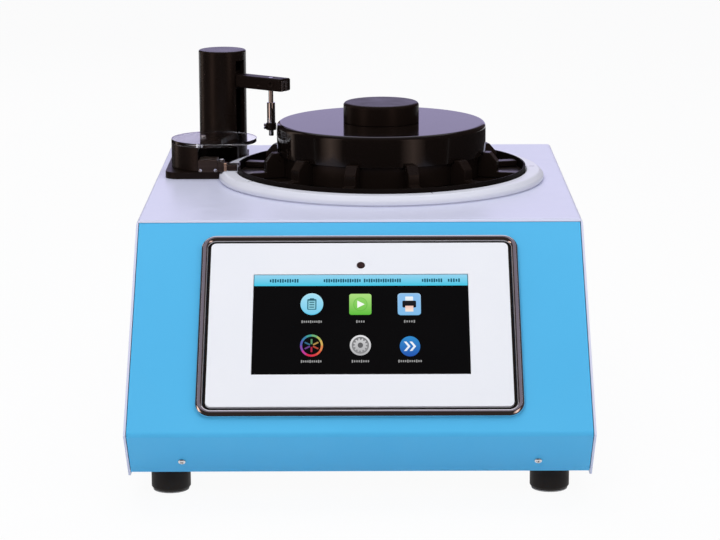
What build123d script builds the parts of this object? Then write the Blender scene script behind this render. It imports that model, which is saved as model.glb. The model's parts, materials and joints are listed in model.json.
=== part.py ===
from build123d import *
from math import atan2, cos, degrees, hypot, pi, radians, sin
import os

os.makedirs("parts", exist_ok=True)

# Tablet hardness tester. Millimetres. X is the width, Y runs from the front to the rear, Z is up.
# The origin lies on the floor, under the middle of the casing.


# ---------------------------------------------------------------- driving dimensions
# Casing: a flat top, a sloping front and an undercut chin, all bent from one gauge of sheet.
top_depth = 338.2
slope_run = 138.8
slope_drop = 124.5
chin_run = 30.7
chin_drop = 35.0
base_clearance = 20.5
sheet = 1.6
side_gap = 0.5
station_margin = 7.6
collar_margin = 17.1
panel_gap = 0.3
skirt_drop = 3.4
top_edge_radius = 3.0
nose_radius = 3.0
lip_length = 14.0
tray_chin_height = 26.0
tray_rear_height = 16.0
rear_inset = 2.0
cover_lip_height = 12.0
flange_width = 12.0

# Feet
foot_radius = 14.05
foot_edge_radius = 2.0
foot_inset = 28.1
front_foot_setback = 58.8
rear_foot_setback = 45.0
foot_recess_depth = 6.0
foot_recess_gap = 1.0

# Screws: shank radius, head radius and head height of the two sizes used
small_shank = 1.5
small_head = 2.7
small_head_height = 1.7
large_shank = 2.5
large_head = 4.5
large_head_height = 2.8
screw_clearance = 0.2
casing_screw_length = 7.0
large_nut_radius = 4.6
large_nut_height = 4.0
thread_end = 0.5
chin_screw_inset = 38.7
chin_screw_drop = 32.6
rear_screw_pitch = 140.0
base_screw_pitch_y = 160.0
base_screw_middle_y = 30.0

# Display, laid out on the slope from the middle of its frame
display_setback = 94.0
bezel_width = 230.2
bezel_height = 156.5
bezel_corner_radius = 11.5
bezel_depth = 3.6
bezel_bar = 5.6
bezel_edge_radius = 1.7
faceplate_gap = 2.0
faceplate_depth = 2.6
screen_width = 154.1
screen_height = 86.6
screen_shift = 0.9
screen_drop = 0.5
glass_gap = 0.25
glass_thickness = 1.1
glass_recess = 0.4
lens_radius = 2.75
lens_rise = 0.5
lens_above_screen = 7.9
module_border = 6.0
module_depth = 9.0
window_gap = 2.0
stud_radius = 2.0
stud_length = 9.0
nut_radius = 3.6
nut_height = 3.0
board_width = 140.0
board_height = 84.0
board_thickness = 1.6
board_gap = 8.0
standoff_radius = 2.6
standoff_inset = 6.0

# Carousel
carousel_setback = 177.7
pocket_count = 12
collar_radius = 129.4
collar_inner_radius = 115.2
collar_crest_radius = 125.6
collar_rise = 7.7
collar_edge = 1.3
collar_shoulder = 4.0
collar_foot_gap = 1.0
collar_foot_inset = 1.4
notch_width = 28.0
floor_thickness = 4.0
liner_wall = 1.4
liner_rise = 11.0
vane_reach = 112.5
vane_thickness = 9.0
vane_shelf_rise = 9.0
vane_step_radius = 95.0
vane_shoulder_rise = 17.2
vane_crown_radius = 89.1
vane_crown_rise = 24.0
vane_edge = 0.8
hub_radius = 80.0
hub_rise = 21.3
hub_wall = 10.5
hub_top = 4.0
hub_boss_radius = 30.0
hub_boss_height = 6.0
running_gap = 0.3
cover_radius = 83.2
cover_rise = 45.3
cover_wall = 4.0
cover_edge_radius = 3.6
cover_boss_radius = 11.0
knob_radius = 30.0
knob_height = 15.7
knob_edge_radius = 2.6
knob_screw_depth = 9.0
spindle_radius = 8.0
spindle_fit = 0.04
bearing_radius = 14.0
bearing_width = 8.0
housing_wall = 6.0
housing_flange_radius = 34.0
housing_flange = 6.0
housing_depth = 52.0
floor_screw_circle = 27.0

# Carousel drive: toothed pulleys, a belt, and a motor hung from the top
driven_teeth = 60
motor_teeth = 15
tooth_pitch = 3.0
belt_width = 9.0
belt_thickness = 1.6
belt_gap = 0.3
pulley_flange = 1.2
pulley_flange_rise = 2.4
pulley_below_housing = 2.0
pulley_clearance = 1.0
belt_centre_distance = 74.0
motor_side = 42.3
motor_length = 40.0
motor_corner = 4.0
motor_boss_radius = 11.0
motor_boss_height = 2.0
motor_shaft_radius = 2.5
shaft_share = 0.6
shaft_fit = 0.05
bracket_thickness = 3.0
bracket_margin = 6.0

# Crushing station
plate_thickness = 5.5
plate_left = 172.7
plate_front = 6.2
plate_back = 106.0
plate_corner_radius = 10.0
plate_right_margin = 0.5
collar_gap = 0.5
jaw_housing_radius = 34.5
jaw_housing_wall = 3.0
jaw_housing_height = 19.5
jaw_housing_top = 4.0
jaw_housing_x = 134.9
jaw_housing_behind = 28.3
recess_left = 145.9
recess_depth = 24.0
guide_height = 9.8
guide_right = 130.5
guide_depth = 18.0
guide_screw_head = 1.3
guide_screw_shank = 0.65
guide_screw_height = 0.8
guide_screw_inset = 1.7
bush_length = 5.0
bush_rim = 1.2
guard_thickness = 3.0
guard_screw_left = 8.9
guard_screw_back = 5.2
jaw_level = 8.75
jaw_thickness = 4.9
jaw_neck_width = 8.0
jaw_head_width = 10.4
jaw_head_length = 7.6
jaw_face_length = 2.0
jaw_fit = 0.3
jaw_rest_gap = 0.4
jaw_travel = 26.0
ram_plate_margin = 8.0
ram_shoulder_margin = 1.5
ram_shoulder_side = 12.0
upright_length = 7.0
upright_width = 10.0
upright_left = 163.2
upright_behind = 22.3

# Jaw drive, hung under the top
drive_drop = 36.0
drive_width = 52.0
drive_plate = 4.0
drive_margin = 3.0
carriage_length = 24.0
carriage_height = 18.0
rod_radius = 3.0
rod_pitch = 34.0
rod_fit = 0.05
screw_radius = 4.0
load_cell_length = 10.0
load_cell_height = 14.0
load_cell_width = 8.0
load_cell_slot = 1.0

# Thickness gauge
column_radius = 19.5
column_wall = 3.5
column_rise = 92.6
column_x = 130.4
column_behind = 83.5
cap_edge_radius = 1.4
cap_thickness = 3.2
cap_plug = 2.0
cap_gap = 0.15
slot_width = 10.0
slot_end_gap = 6.0
slot_low_rise = 20.0
probe_pitch_radius = 103.3
probe_station = 4
arm_width = 12.5
arm_low_rise = 63.5
arm_high_rise = 73.7
arm_overhang = 15.2
arm_gap = 0.6
arm_edge = 0.8
arm_neck_gap = 0.4
arm_slit = 1.2
clamp_margin = 1.5
arm_drop = 20.0
arm_climb = 5.0
slider_gap = 0.3
slider_height = 15.0
lift_screw_radius = 3.0
lift_rod_radius = 2.5
lift_rod_offset = 10.0
lift_motor_side = 35.0
lift_motor_length = 28.0
stem_radius = 2.0
barrel_radius = 3.4
barrel_high_rise = 53.2
probe_collar_radius = 4.1
probe_collar_high_rise = 36.4
probe_collar_low_rise = 30.6
probe_tip_radius = 2.0
probe_tip_rise = 25.7
plunger_length = 16.0
plunger_fit = 0.05
plunger_travel = 5.0
spring_radius = 1.5
spring_wall = 0.4
spring_solid = 1.0
probe_screw_head = 2.4
probe_screw_height = 1.9
probe_screw_shank = 0.9

# Rear sockets, switch and power supply
inlet_x = -110.0
inlet_z = 62.0
inlet_width = 27.0
inlet_height = 20.0
inlet_depth = 18.0
inlet_wall = 1.6
inlet_flange = 1.5
inlet_flange_width = 50.0
blade_length = 10.0
blade_pitch = 7.0
blade_offset = 2.0
blade_thickness = 2.0
blade_width = 4.0
switch_x = -66.0
switch_width = 13.0
switch_height = 19.0
switch_depth = 14.0
switch_wall = 1.4
switch_rim = 0.8
rocker_gap = 0.3
rocker_tilt = 7.0
rocker_crest = 0.8
rocker_end_gap = 1.4
pivot_radius = 1.5
pivot_depth = 5.0
socket_z = 62.0
host_socket_x = 40.0
host_socket_width = 14.6
host_socket_height = 7.2
device_socket_x = 72.0
device_socket_width = 12.0
device_socket_height = 11.0
socket_depth = 14.0
socket_wall = 1.1
vent_count = 14
vent_pitch = 9.0
vent_width = 3.0
vent_height = 34.0
vent_z = 120.0
supply_x = -92.0
supply_y = 150.0
supply_width = 64.0
supply_length = 104.0
supply_height = 26.0
supply_standoff = 6.0


# ---------------------------------------------------------------- worked-out levels and places
# The casing is as wide as the station and the carousel side by side.
body_width = station_margin + plate_left + collar_radius + collar_margin
carousel_x = body_width / 2 - collar_margin - collar_radius
top_height = base_clearance + chin_drop + slope_drop
front_y = -(top_depth + slope_run) / 2
rear_y = -front_y
top_front_y = front_y + slope_run
slope_bottom_z = base_clearance + chin_drop
chin_foot_y = front_y + chin_run
inner_half_width = body_width / 2 - sheet
underside = top_height - sheet
tray_top = base_clearance + 2 * sheet
rear_face_y = rear_y - rear_inset
rear_panel_inner_y = rear_face_y - sheet

carousel_y = top_front_y + carousel_setback
carousel_centre = (carousel_x, carousel_y)
station_angle = 360 / pocket_count

slope = Plane(origin=(0, top_front_y, top_height), x_dir=(1, 0, 0), z_dir=(0, -slope_drop, slope_run))
chin = Plane(origin=(0, front_y, slope_bottom_z), x_dir=(1, 0, 0), z_dir=(0, -chin_drop, -chin_run))
display_origin = slope.from_local_coords((0, -display_setback, 0))
display = Plane(origin=display_origin, x_dir=slope.x_dir, z_dir=slope.z_dir)
screen_origin = display.from_local_coords((screen_shift, -screen_drop, 0))
screen = Plane(origin=screen_origin, x_dir=slope.x_dir, z_dir=slope.z_dir)

low = (Align.CENTER, Align.CENTER, Align.MIN)
high = (Align.CENTER, Align.CENTER, Align.MAX)


def moved_path(points, distance):
    # The corners of a path in a plane, moved to its left by distance and mitred where it turns.
    normals = []
    for start, end in zip(points, points[1:]):
        length = hypot(end[0] - start[0], end[1] - start[1])
        normals.append(((start[1] - end[1]) / length, (end[0] - start[0]) / length))
    moved = []
    for index, point in enumerate(points):
        before = normals[max(index - 1, 0)]
        after = normals[min(index, len(normals) - 1)]
        scale = distance / (1 + before[0] * after[0] + before[1] * after[1])
        moved.append((point[0] + (before[0] + after[0]) * scale, point[1] + (before[1] + after[1]) * scale))
    return moved


def make_screw(head, head_height, shank, length):
    # A pan head screw: its head stands on Z = 0 and its shank goes down.
    with BuildPart() as screw:
        Cylinder(head, head_height, align=low)
        fillet(screw.edges().group_by(Axis.Z)[-1], head_height * 0.5)
        with Locations((0, 0, head_height)):
            Box(head * 1.1, head * 0.22, head_height * 0.8, mode=Mode.SUBTRACT)
            Box(head * 0.22, head * 1.1, head_height * 0.8, mode=Mode.SUBTRACT)
        Cylinder(shank, length, align=high)
    return screw.part


def make_slotted(head, head_height, shank, length):
    # A cheese head screw with one slot.
    with BuildPart() as screw:
        Cylinder(head, head_height, align=low)
        chamfer(screw.edges().group_by(Axis.Z)[-1], head_height * 0.15)
        with Locations((0, 0, head_height)):
            Box(head * 3, head * 0.3, head_height * 0.8, mode=Mode.SUBTRACT)
        Cylinder(shank, length, align=high)
    return screw.part


def make_motor(side, length, boss_radius, shaft_radius):
    # A square motor: its mounting face is Z = 0, its can goes down, and a bore takes its shaft.
    with BuildPart() as motor:
        with BuildSketch():
            RectangleRounded(side, side, motor_corner)
        extrude(amount=-length)
        Cylinder(boss_radius, motor_boss_height, align=low)
        Cylinder(shaft_radius + shaft_fit, length * 2, mode=Mode.SUBTRACT)
        for level in (-length * 0.25, -length * 0.75):
            with BuildSketch(Plane.XY.offset(level)):
                Rectangle(side * 2, side * 2)
                RectangleRounded(side - 0.8, side - 0.8, motor_corner, mode=Mode.SUBTRACT)
            extrude(amount=0.5, both=True, mode=Mode.SUBTRACT)
    return motor.part


# ---------------------------------------------------------------- casing
front_path = [
    (top_front_y, top_height),
    (front_y, slope_bottom_z),
    (chin_foot_y, base_clearance),
    (chin_foot_y + lip_length, base_clearance),
]
front_inner_path = moved_path(front_path, sheet)
chin_screw_x = body_width / 2 - chin_screw_inset
chin_screw_places = [(-chin_screw_x, -chin_screw_drop), (chin_screw_x, -chin_screw_drop)]
rear_low_screw_z = base_clearance + tray_rear_height * 0.65
rear_high_screw_z = underside - cover_lip_height / 2
rear_screw_places = [
    (step * rear_screw_pitch, level)
    for level in (rear_low_screw_z, rear_high_screw_z)
    for step in (-1, 0, 1)
]
rear_face = Plane(origin=(0, rear_face_y, 0), x_dir=(-1, 0, 0), z_dir=(0, 1, 0))

with BuildPart() as top_cover:
    with BuildSketch(Plane.YZ):
        with BuildLine():
            skirt_z = base_clearance - skirt_drop
            skirt_front_y = chin_foot_y + skirt_drop * chin_run / chin_drop
            Polyline(
                (top_front_y, top_height),
                (front_y, slope_bottom_z),
                (skirt_front_y, skirt_z),
                (rear_y, skirt_z),
                (rear_y, top_height),
                close=True,
            )
        make_face()
    extrude(amount=body_width / 2, both=True)
    fillet(top_cover.edges().filter_by(Axis.Y).group_by(Axis.Z)[-1], top_edge_radius)
    with BuildSketch(Plane.YZ):
        Rectangle(4 * rear_y, 2 * underside)
    extrude(amount=inner_half_width, both=True, mode=Mode.SUBTRACT)
    # flanges for the base screws
    flange_length = base_screw_pitch_y * 2 + 4 * large_head
    for side in (-1, 1):
        with Locations((side * (inner_half_width - flange_width / 2), base_screw_middle_y, tray_top)):
            Box(flange_width, flange_length, sheet, align=low)
    # lip behind the rear panel
    with Locations((0, rear_panel_inner_y - sheet / 2, underside)):
        Box(2 * (inner_half_width - flange_width), sheet, cover_lip_height, align=high)
    # hole for the spindle housing, slot for the jaw upright and hole for the lift screw
    with Locations((carousel_x, carousel_y, underside)):
        Cylinder(bearing_radius + housing_wall + 1, sheet * 4, mode=Mode.SUBTRACT)
    slot_x = carousel_x - upright_left + (jaw_travel + upright_length) / 2
    slot_y = carousel_y + upright_behind
    jaw_slot_length = jaw_travel + upright_length + 4
    jaw_slot_width = upright_width + 3
    with Locations((slot_x, slot_y, underside)):
        Box(jaw_slot_length, jaw_slot_width, sheet * 4, mode=Mode.SUBTRACT)
    column_centre = (carousel_x - column_x, carousel_y + column_behind)
    lift_hole_radius = lift_rod_offset + lift_rod_radius + 0.5
    with Locations((*column_centre, underside)):
        Cylinder(lift_hole_radius, sheet * 4, mode=Mode.SUBTRACT)
    # screw holes
    with BuildSketch(rear_face):
        with Locations(*[(-x, z) for x, z in rear_screw_places]):
            Circle(small_shank + screw_clearance)
    extrude(amount=-sheet * 4, mode=Mode.SUBTRACT)
    with Locations((carousel_x, carousel_y, underside)):
        with PolarLocations(floor_screw_circle, 4, start_angle=45):
            Cylinder(small_shank + screw_clearance, sheet * 4, mode=Mode.SUBTRACT)
    base_screw_x = inner_half_width - flange_width / 2
    base_screw_y = [base_screw_middle_y + step * base_screw_pitch_y for step in (-1, 0, 1)]
    with Locations(*[(side * base_screw_x, y, tray_top) for side in (-1, 1) for y in base_screw_y]):
        Cylinder(large_shank + screw_clearance, sheet * 4, mode=Mode.SUBTRACT)
top_cover.part.label = "top_cover"
export_step(top_cover.part, "parts/top_cover.step")

with BuildPart() as front_panel:
    with BuildSketch(Plane.YZ):
        with BuildLine():
            Polyline(*front_path, *reversed(front_inner_path), close=True)
        make_face()
    extrude(amount=inner_half_width - side_gap, both=True)
    fillet(front_panel.edges().filter_by(Axis.X).group_by(Axis.Y)[0], nose_radius)
    with Locations((0, top_front_y, underside - panel_gap)):
        Box(body_width * 2, slope_run, slope_drop, align=low, mode=Mode.SUBTRACT)
    module_width = screen_width + 2 * module_border
    module_height = screen_height + 2 * module_border
    with BuildSketch(screen):
        RectangleRounded(module_width + 2 * window_gap, module_height + 2 * window_gap, 3)
    extrude(amount=-sheet * 2, mode=Mode.SUBTRACT)
    stud_x = bezel_width / 2 - bezel_bar / 2
    stud_y = bezel_height / 2 - bezel_corner_radius - bezel_bar / 2
    with BuildSketch(display):
        with GridLocations(2 * stud_x, 2 * stud_y, 2, 2):
            Circle(stud_radius + screw_clearance)
    extrude(amount=-sheet * 2, mode=Mode.SUBTRACT)
    with BuildSketch(chin):
        with Locations(*chin_screw_places):
            Circle(small_shank + screw_clearance)
    extrude(amount=-sheet * 2, mode=Mode.SUBTRACT)
front_panel.part.label = "front_panel"
export_step(front_panel.part, "parts/front_panel.step")

# the base tray: a flange behind the chin, the floor of the casing and a flange behind the rear panel
chin_length = hypot(chin_run, chin_drop)
tray_chin_share = tray_chin_height / chin_length
tray_path = [
    (chin_foot_y - tray_chin_share * chin_run, base_clearance + tray_chin_share * chin_drop),
    (chin_foot_y, base_clearance),
    (rear_panel_inner_y + sheet, base_clearance),
    (rear_panel_inner_y + sheet, base_clearance + tray_rear_height),
]
foot_places = [
    (side * (body_width / 2 - foot_inset), y)
    for y in (front_y + front_foot_setback, rear_y - rear_foot_setback)
    for side in (-1, 1)
]

with BuildPart() as base_tray:
    with BuildSketch(Plane.YZ):
        with BuildLine():
            tray_outer = moved_path(tray_path, sheet)
            tray_inner = moved_path(tray_path, 2 * sheet)
            Polyline(*tray_outer, *reversed(tray_inner), close=True)
        make_face()
    extrude(amount=inner_half_width - side_gap, both=True)
    with Locations(*[(x, y, tray_top) for x, y in foot_places]):
        Cylinder(large_shank + screw_clearance, sheet * 4, mode=Mode.SUBTRACT)
    with Locations(*[(side * base_screw_x, y, tray_top) for side in (-1, 1) for y in base_screw_y]):
        Cylinder(large_shank + screw_clearance, sheet * 4, mode=Mode.SUBTRACT)
    with BuildSketch(chin):
        with Locations(*chin_screw_places):
            Circle(small_shank + screw_clearance)
    extrude(amount=-sheet * 4, mode=Mode.SUBTRACT)
    with BuildSketch(rear_face):
        with Locations(*[(-x, z) for x, z in rear_screw_places]):
            Circle(small_shank + screw_clearance)
    extrude(amount=-sheet * 4, mode=Mode.SUBTRACT)
base_tray.part.label = "base_tray"
export_step(base_tray.part, "parts/base_tray.step")

with BuildPart() as rear_panel:
    panel_low = base_clearance + panel_gap
    panel_high = underside - panel_gap
    margin = 2 * panel_gap
    with BuildSketch(rear_face):
        with Locations((0, (panel_low + panel_high) / 2)):
            Rectangle(2 * (inner_half_width - side_gap), panel_high - panel_low)
        with Locations(*[(-x, z) for x, z in rear_screw_places]):
            Circle(small_shank + screw_clearance, mode=Mode.SUBTRACT)
        with Locations((-inlet_x, inlet_z)):
            Rectangle(inlet_width + margin, inlet_height + margin, mode=Mode.SUBTRACT)
        with Locations((-switch_x, inlet_z)):
            Rectangle(switch_width + margin, switch_height + margin, mode=Mode.SUBTRACT)
        with Locations((-host_socket_x, socket_z)):
            Rectangle(host_socket_width + margin, host_socket_height + margin, mode=Mode.SUBTRACT)
        with Locations((-device_socket_x, socket_z)):
            Rectangle(device_socket_width + margin, device_socket_height + margin, mode=Mode.SUBTRACT)
        with Locations((0, vent_z)):
            with GridLocations(vent_pitch, 1, vent_count, 1):
                SlotOverall(vent_height, vent_width, rotation=90, mode=Mode.SUBTRACT)
        inlet_screw_pitch = inlet_flange_width - 4 * small_shank - 2
        with Locations((-inlet_x, inlet_z)):
            with GridLocations(inlet_screw_pitch, 1, 2, 1):
                Circle(small_shank + screw_clearance, mode=Mode.SUBTRACT)
    extrude(amount=-sheet)
rear_panel.part.label = "rear_panel"
export_step(rear_panel.part, "parts/rear_panel.step")

small_screw = make_screw(small_head, small_head_height, small_shank, casing_screw_length)
large_screw = make_screw(large_head, large_head_height, large_shank, casing_screw_length)

with BuildPart() as casing_screws:
    with Locations(chin):
        with Locations(*chin_screw_places):
            add(small_screw)
    with Locations(rear_face):
        with Locations(*[(-x, z) for x, z in rear_screw_places]):
            add(small_screw)
casing_screws.part.label = "casing_screws"
export_step(casing_screws.part, "parts/casing_screws.step")

base_face = Plane(origin=(0, 0, base_clearance + sheet), x_dir=(1, 0, 0), z_dir=(0, 0, -1))
with BuildPart() as base_screws:
    with Locations(base_face):
        with Locations(*[(side * base_screw_x, -y) for side in (-1, 1) for y in base_screw_y]):
            add(large_screw)
base_screws.part.label = "base_screws"
export_step(base_screws.part, "parts/base_screws.step")

foot_height = base_clearance + sheet
with BuildPart() as feet:
    with Locations(*[(x, y, 0) for x, y in foot_places]):
        Cylinder(foot_radius, foot_height, align=low)
    fillet(feet.edges().group_by(Axis.Z)[0], foot_edge_radius)
    with Locations(*[(x, y, 0) for x, y in foot_places]):
        Cylinder(large_head + foot_recess_gap, foot_recess_depth, align=low, mode=Mode.SUBTRACT)
        Cylinder(large_shank + screw_clearance, foot_height, align=low, mode=Mode.SUBTRACT)
feet.part.label = "feet"
export_step(feet.part, "parts/feet.step")

foot_face = Plane(origin=(0, 0, foot_recess_depth), x_dir=(1, 0, 0), z_dir=(0, 0, -1))
foot_screw_reach = foot_height - foot_recess_depth + sheet + large_nut_height + thread_end
with BuildPart() as foot_screws:
    with Locations(foot_face):
        with Locations(*[(x, -y) for x, y in foot_places]):
            add(make_screw(large_head, large_head_height, large_shank, foot_screw_reach))
    with BuildSketch(Plane.XY.offset(tray_top)):
        with Locations(*foot_places):
            RegularPolygon(large_nut_radius, 6)
            Circle(large_shank + shaft_fit, mode=Mode.SUBTRACT)
    extrude(amount=large_nut_height)
foot_screws.part.label = "foot_screws"
export_step(foot_screws.part, "parts/foot_screws.step")


# ---------------------------------------------------------------- display
outward = Axis(display.origin, display.z_dir)
opening_width = bezel_width - 2 * bezel_bar
opening_height = bezel_height - 2 * bezel_bar
opening_radius = bezel_corner_radius - bezel_bar
faceplate_width = opening_width - 2 * faceplate_gap
faceplate_height = opening_height - 2 * faceplate_gap
lens_y = screen_height / 2 + lens_above_screen
glass_level = faceplate_depth - glass_recess - glass_thickness

with BuildPart() as display_bezel:
    with BuildSketch(display):
        RectangleRounded(bezel_width, bezel_height, bezel_corner_radius)
        RectangleRounded(opening_width, opening_height, opening_radius, mode=Mode.SUBTRACT)
    extrude(amount=bezel_depth)
    fillet(display_bezel.faces().sort_by(outward)[-1].edges(), bezel_edge_radius)
    with BuildSketch(display):
        with GridLocations(2 * stud_x, 2 * stud_y, 2, 2):
            Circle(stud_radius)
    extrude(amount=-stud_length)
display_bezel.part.label = "display_bezel"
export_step(display_bezel.part, "parts/display_bezel.step")

with BuildPart() as bezel_nuts:
    with BuildSketch(display.offset(-sheet)):
        with GridLocations(2 * stud_x, 2 * stud_y, 2, 2):
            RegularPolygon(nut_radius, 6)
            Circle(stud_radius + shaft_fit, mode=Mode.SUBTRACT)
    extrude(amount=-nut_height)
bezel_nuts.part.label = "bezel_nuts"
export_step(bezel_nuts.part, "parts/bezel_nuts.step")

with BuildPart() as display_faceplate:
    with BuildSketch(display):
        RectangleRounded(faceplate_width, faceplate_height, opening_radius - faceplate_gap)
    extrude(amount=faceplate_depth)
    with BuildSketch(screen):
        Rectangle(screen_width, screen_height)
        with Locations((0, lens_y)):
            Circle(lens_radius + glass_gap)
    extrude(amount=faceplate_depth, mode=Mode.SUBTRACT)
display_faceplate.part.label = "display_faceplate"
export_step(display_faceplate.part, "parts/display_faceplate.step")

with BuildPart() as touch_glass:
    with BuildSketch(screen.offset(glass_level)):
        Rectangle(screen_width - 2 * glass_gap, screen_height - 2 * glass_gap)
    extrude(amount=glass_thickness)
touch_glass.part.label = "touch_glass"
export_step(touch_glass.part, "parts/touch_glass.step")

with BuildPart() as status_lens:
    with BuildSketch(screen):
        with Locations((0, lens_y)):
            Circle(lens_radius)
    extrude(amount=faceplate_depth + lens_rise)
    fillet(status_lens.faces().sort_by(outward)[-1].edges(), lens_rise * 0.8)
status_lens.part.label = "status_lens"
export_step(status_lens.part, "parts/status_lens.step")

with BuildPart() as display_module:
    with BuildSketch(screen):
        Rectangle(module_width, module_height)
    extrude(amount=-module_depth)
    with BuildSketch(screen):
        Rectangle(screen_width - 4 * glass_gap, screen_height - 4 * glass_gap)
    extrude(amount=glass_level)
    # posts that carry the controller board
    with BuildSketch(screen.offset(-module_depth)):
        with GridLocations(board_width - 2 * standoff_inset, board_height - 2 * standoff_inset, 2, 2):
            RegularPolygon(standoff_radius, 6)
    extrude(amount=-board_gap)
display_module.part.label = "display_module"
export_step(display_module.part, "parts/display_module.step")

with BuildPart() as controller_board:
    with BuildSketch(screen.offset(-module_depth - board_gap)):
        RectangleRounded(board_width, board_height, 2)
    extrude(amount=-board_thickness)
    board_back = -module_depth - board_gap - board_thickness
    with BuildSketch(screen.offset(board_back)):
        with Locations((-board_width * 0.15, 0)):
            Rectangle(board_width * 0.16, board_width * 0.16)
        with Locations((board_width * 0.2, board_height * 0.2)):
            Rectangle(board_width * 0.2, board_height * 0.16)
    extrude(amount=-2.5)
    with BuildSketch(screen.offset(board_back)):
        with Locations((0, -board_height * 0.38)):
            Rectangle(board_width * 0.6, board_height * 0.1)
    extrude(amount=-9)
controller_board.part.label = "controller_board"
export_step(controller_board.part, "parts/controller_board.step")


# ---------------------------------------------------------------- carousel
collar_profile = [
    (collar_inner_radius, 0),
    (collar_radius - collar_foot_inset, 0),
    (collar_radius - collar_foot_inset, collar_foot_gap),
    (collar_radius, collar_foot_gap),
    (collar_radius, collar_shoulder),
    (collar_crest_radius, collar_rise),
    (collar_inner_radius + collar_edge, collar_rise),
    (collar_inner_radius, collar_rise - collar_edge),
]
carousel_axis = Axis((carousel_x, carousel_y, 0), (0, 0, 1))
carousel_section = Plane(origin=(carousel_x, carousel_y, top_height), x_dir=(1, 0, 0), z_dir=(0, -1, 0))


collar_width = collar_radius - collar_inner_radius


def notch_cut():
    # The gap on the left of the well, where the jaw comes in over the floor.
    with Locations((carousel_x - collar_inner_radius, carousel_y, top_height + floor_thickness)):
        Box(4 * collar_width, notch_width, collar_rise * 2, align=low, mode=Mode.SUBTRACT)


with BuildPart() as carousel_collar:
    with BuildSketch(carousel_section):
        with BuildLine():
            Polyline(*collar_profile, close=True)
        make_face()
    revolve(axis=carousel_axis)
    notch_cut()
carousel_collar.part.label = "carousel_collar"
export_step(carousel_collar.part, "parts/carousel_collar.step")

liner_radius = collar_inner_radius - running_gap
with BuildPart() as well_liner:
    with BuildSketch(Plane.XY.offset(top_height + floor_thickness)):
        with Locations(carousel_centre):
            Circle(liner_radius)
            Circle(liner_radius - liner_wall, mode=Mode.SUBTRACT)
    extrude(amount=liner_rise - floor_thickness)
    notch_cut()
well_liner.part.label = "well_liner"
export_step(well_liner.part, "parts/well_liner.step")

with BuildPart() as carousel_floor:
    with BuildSketch(Plane.XY.offset(top_height)):
        with Locations(carousel_centre):
            Circle(liner_radius)
            Circle(spindle_radius + 1, mode=Mode.SUBTRACT)
            with PolarLocations(floor_screw_circle, 4, start_angle=45):
                Circle(small_shank + screw_clearance, mode=Mode.SUBTRACT)
    extrude(amount=floor_thickness)
carousel_floor.part.label = "carousel_floor"
export_step(carousel_floor.part, "parts/carousel_floor.step")

vane_low = floor_thickness + running_gap
vane_notch_radius = cover_radius + running_gap
with BuildPart() as vane:
    with BuildSketch(Plane.XZ):
        with BuildLine():
            Polyline(
                (hub_radius * 0.9, vane_low),
                (vane_reach, vane_low),
                (vane_reach, vane_shelf_rise),
                (vane_step_radius, vane_shelf_rise),
                (vane_step_radius, vane_shoulder_rise),
                (vane_crown_radius, vane_crown_rise),
                (vane_notch_radius, vane_crown_rise),
                (vane_notch_radius, hub_rise),
                (hub_radius * 0.9, hub_rise),
                close=True,
            )
        make_face()
    extrude(amount=vane_thickness / 2, both=True)
    fillet(vane.edges().filter_by(Axis.Z).group_by(Axis.X)[-1], vane_thickness * 0.3)
    chamfer(vane.edges().filter_by(Axis.X).group_by(Axis.Z)[-1], vane_edge)

with BuildPart() as pocket_vanes:
    with Locations((carousel_x, carousel_y, top_height)):
        with PolarLocations(0, pocket_count, start_angle=station_angle / 2):
            add(vane.part)
    with Locations((carousel_x, carousel_y, top_height)):
        Cylinder(hub_radius, hub_rise * 3, mode=Mode.SUBTRACT)
pocket_vanes.part.label = "pocket_vanes"
export_step(pocket_vanes.part, "parts/pocket_vanes.step")

with BuildPart() as carousel_hub:
    with Locations((carousel_x, carousel_y, top_height + vane_low)):
        Cylinder(hub_radius, hub_rise - vane_low, align=low)
    with Locations((carousel_x, carousel_y, top_height + hub_rise)):
        Cylinder(hub_boss_radius, hub_boss_height, align=low)
    hollow_height = hub_rise - hub_top - vane_low
    with BuildSketch(Plane.XY.offset(top_height + vane_low)):
        with Locations(carousel_centre):
            Circle(hub_radius - hub_wall)
            Circle(floor_screw_circle - 3 * small_shank, mode=Mode.SUBTRACT)
    extrude(amount=hollow_height, mode=Mode.SUBTRACT)
    with Locations((carousel_x, carousel_y, top_height)):
        Cylinder(spindle_radius + spindle_fit, hub_rise * 4, mode=Mode.SUBTRACT)
carousel_hub.part.label = "carousel_hub"
export_step(carousel_hub.part, "parts/carousel_hub.step")

boss_top = hub_rise + hub_boss_height
cover_boss_low = boss_top + running_gap
with BuildPart() as cover_disc:
    with Locations((carousel_x, carousel_y, top_height + hub_rise)):
        Cylinder(cover_radius, cover_rise - hub_rise, align=low)
    fillet(cover_disc.edges().group_by(Axis.Z)[-1], cover_edge_radius)
    with BuildSketch(Plane.XY.offset(top_height + hub_rise)):
        with Locations(carousel_centre):
            Circle(cover_radius - cover_wall)
            Circle(cover_boss_radius, mode=Mode.SUBTRACT)
    extrude(amount=cover_rise - hub_rise - cover_wall, mode=Mode.SUBTRACT)
    with Locations((carousel_x, carousel_y, top_height + cover_boss_low)):
        Cylinder(cover_boss_radius * 2, hub_rise, align=high, mode=Mode.SUBTRACT)
        Cylinder(large_head + 0.5, large_head_height + 0.5, align=low, mode=Mode.SUBTRACT)
        Cylinder(large_shank + screw_clearance, cover_rise, align=low, mode=Mode.SUBTRACT)
cover_disc.part.label = "cover_disc"
export_step(cover_disc.part, "parts/cover_disc.step")

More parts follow.
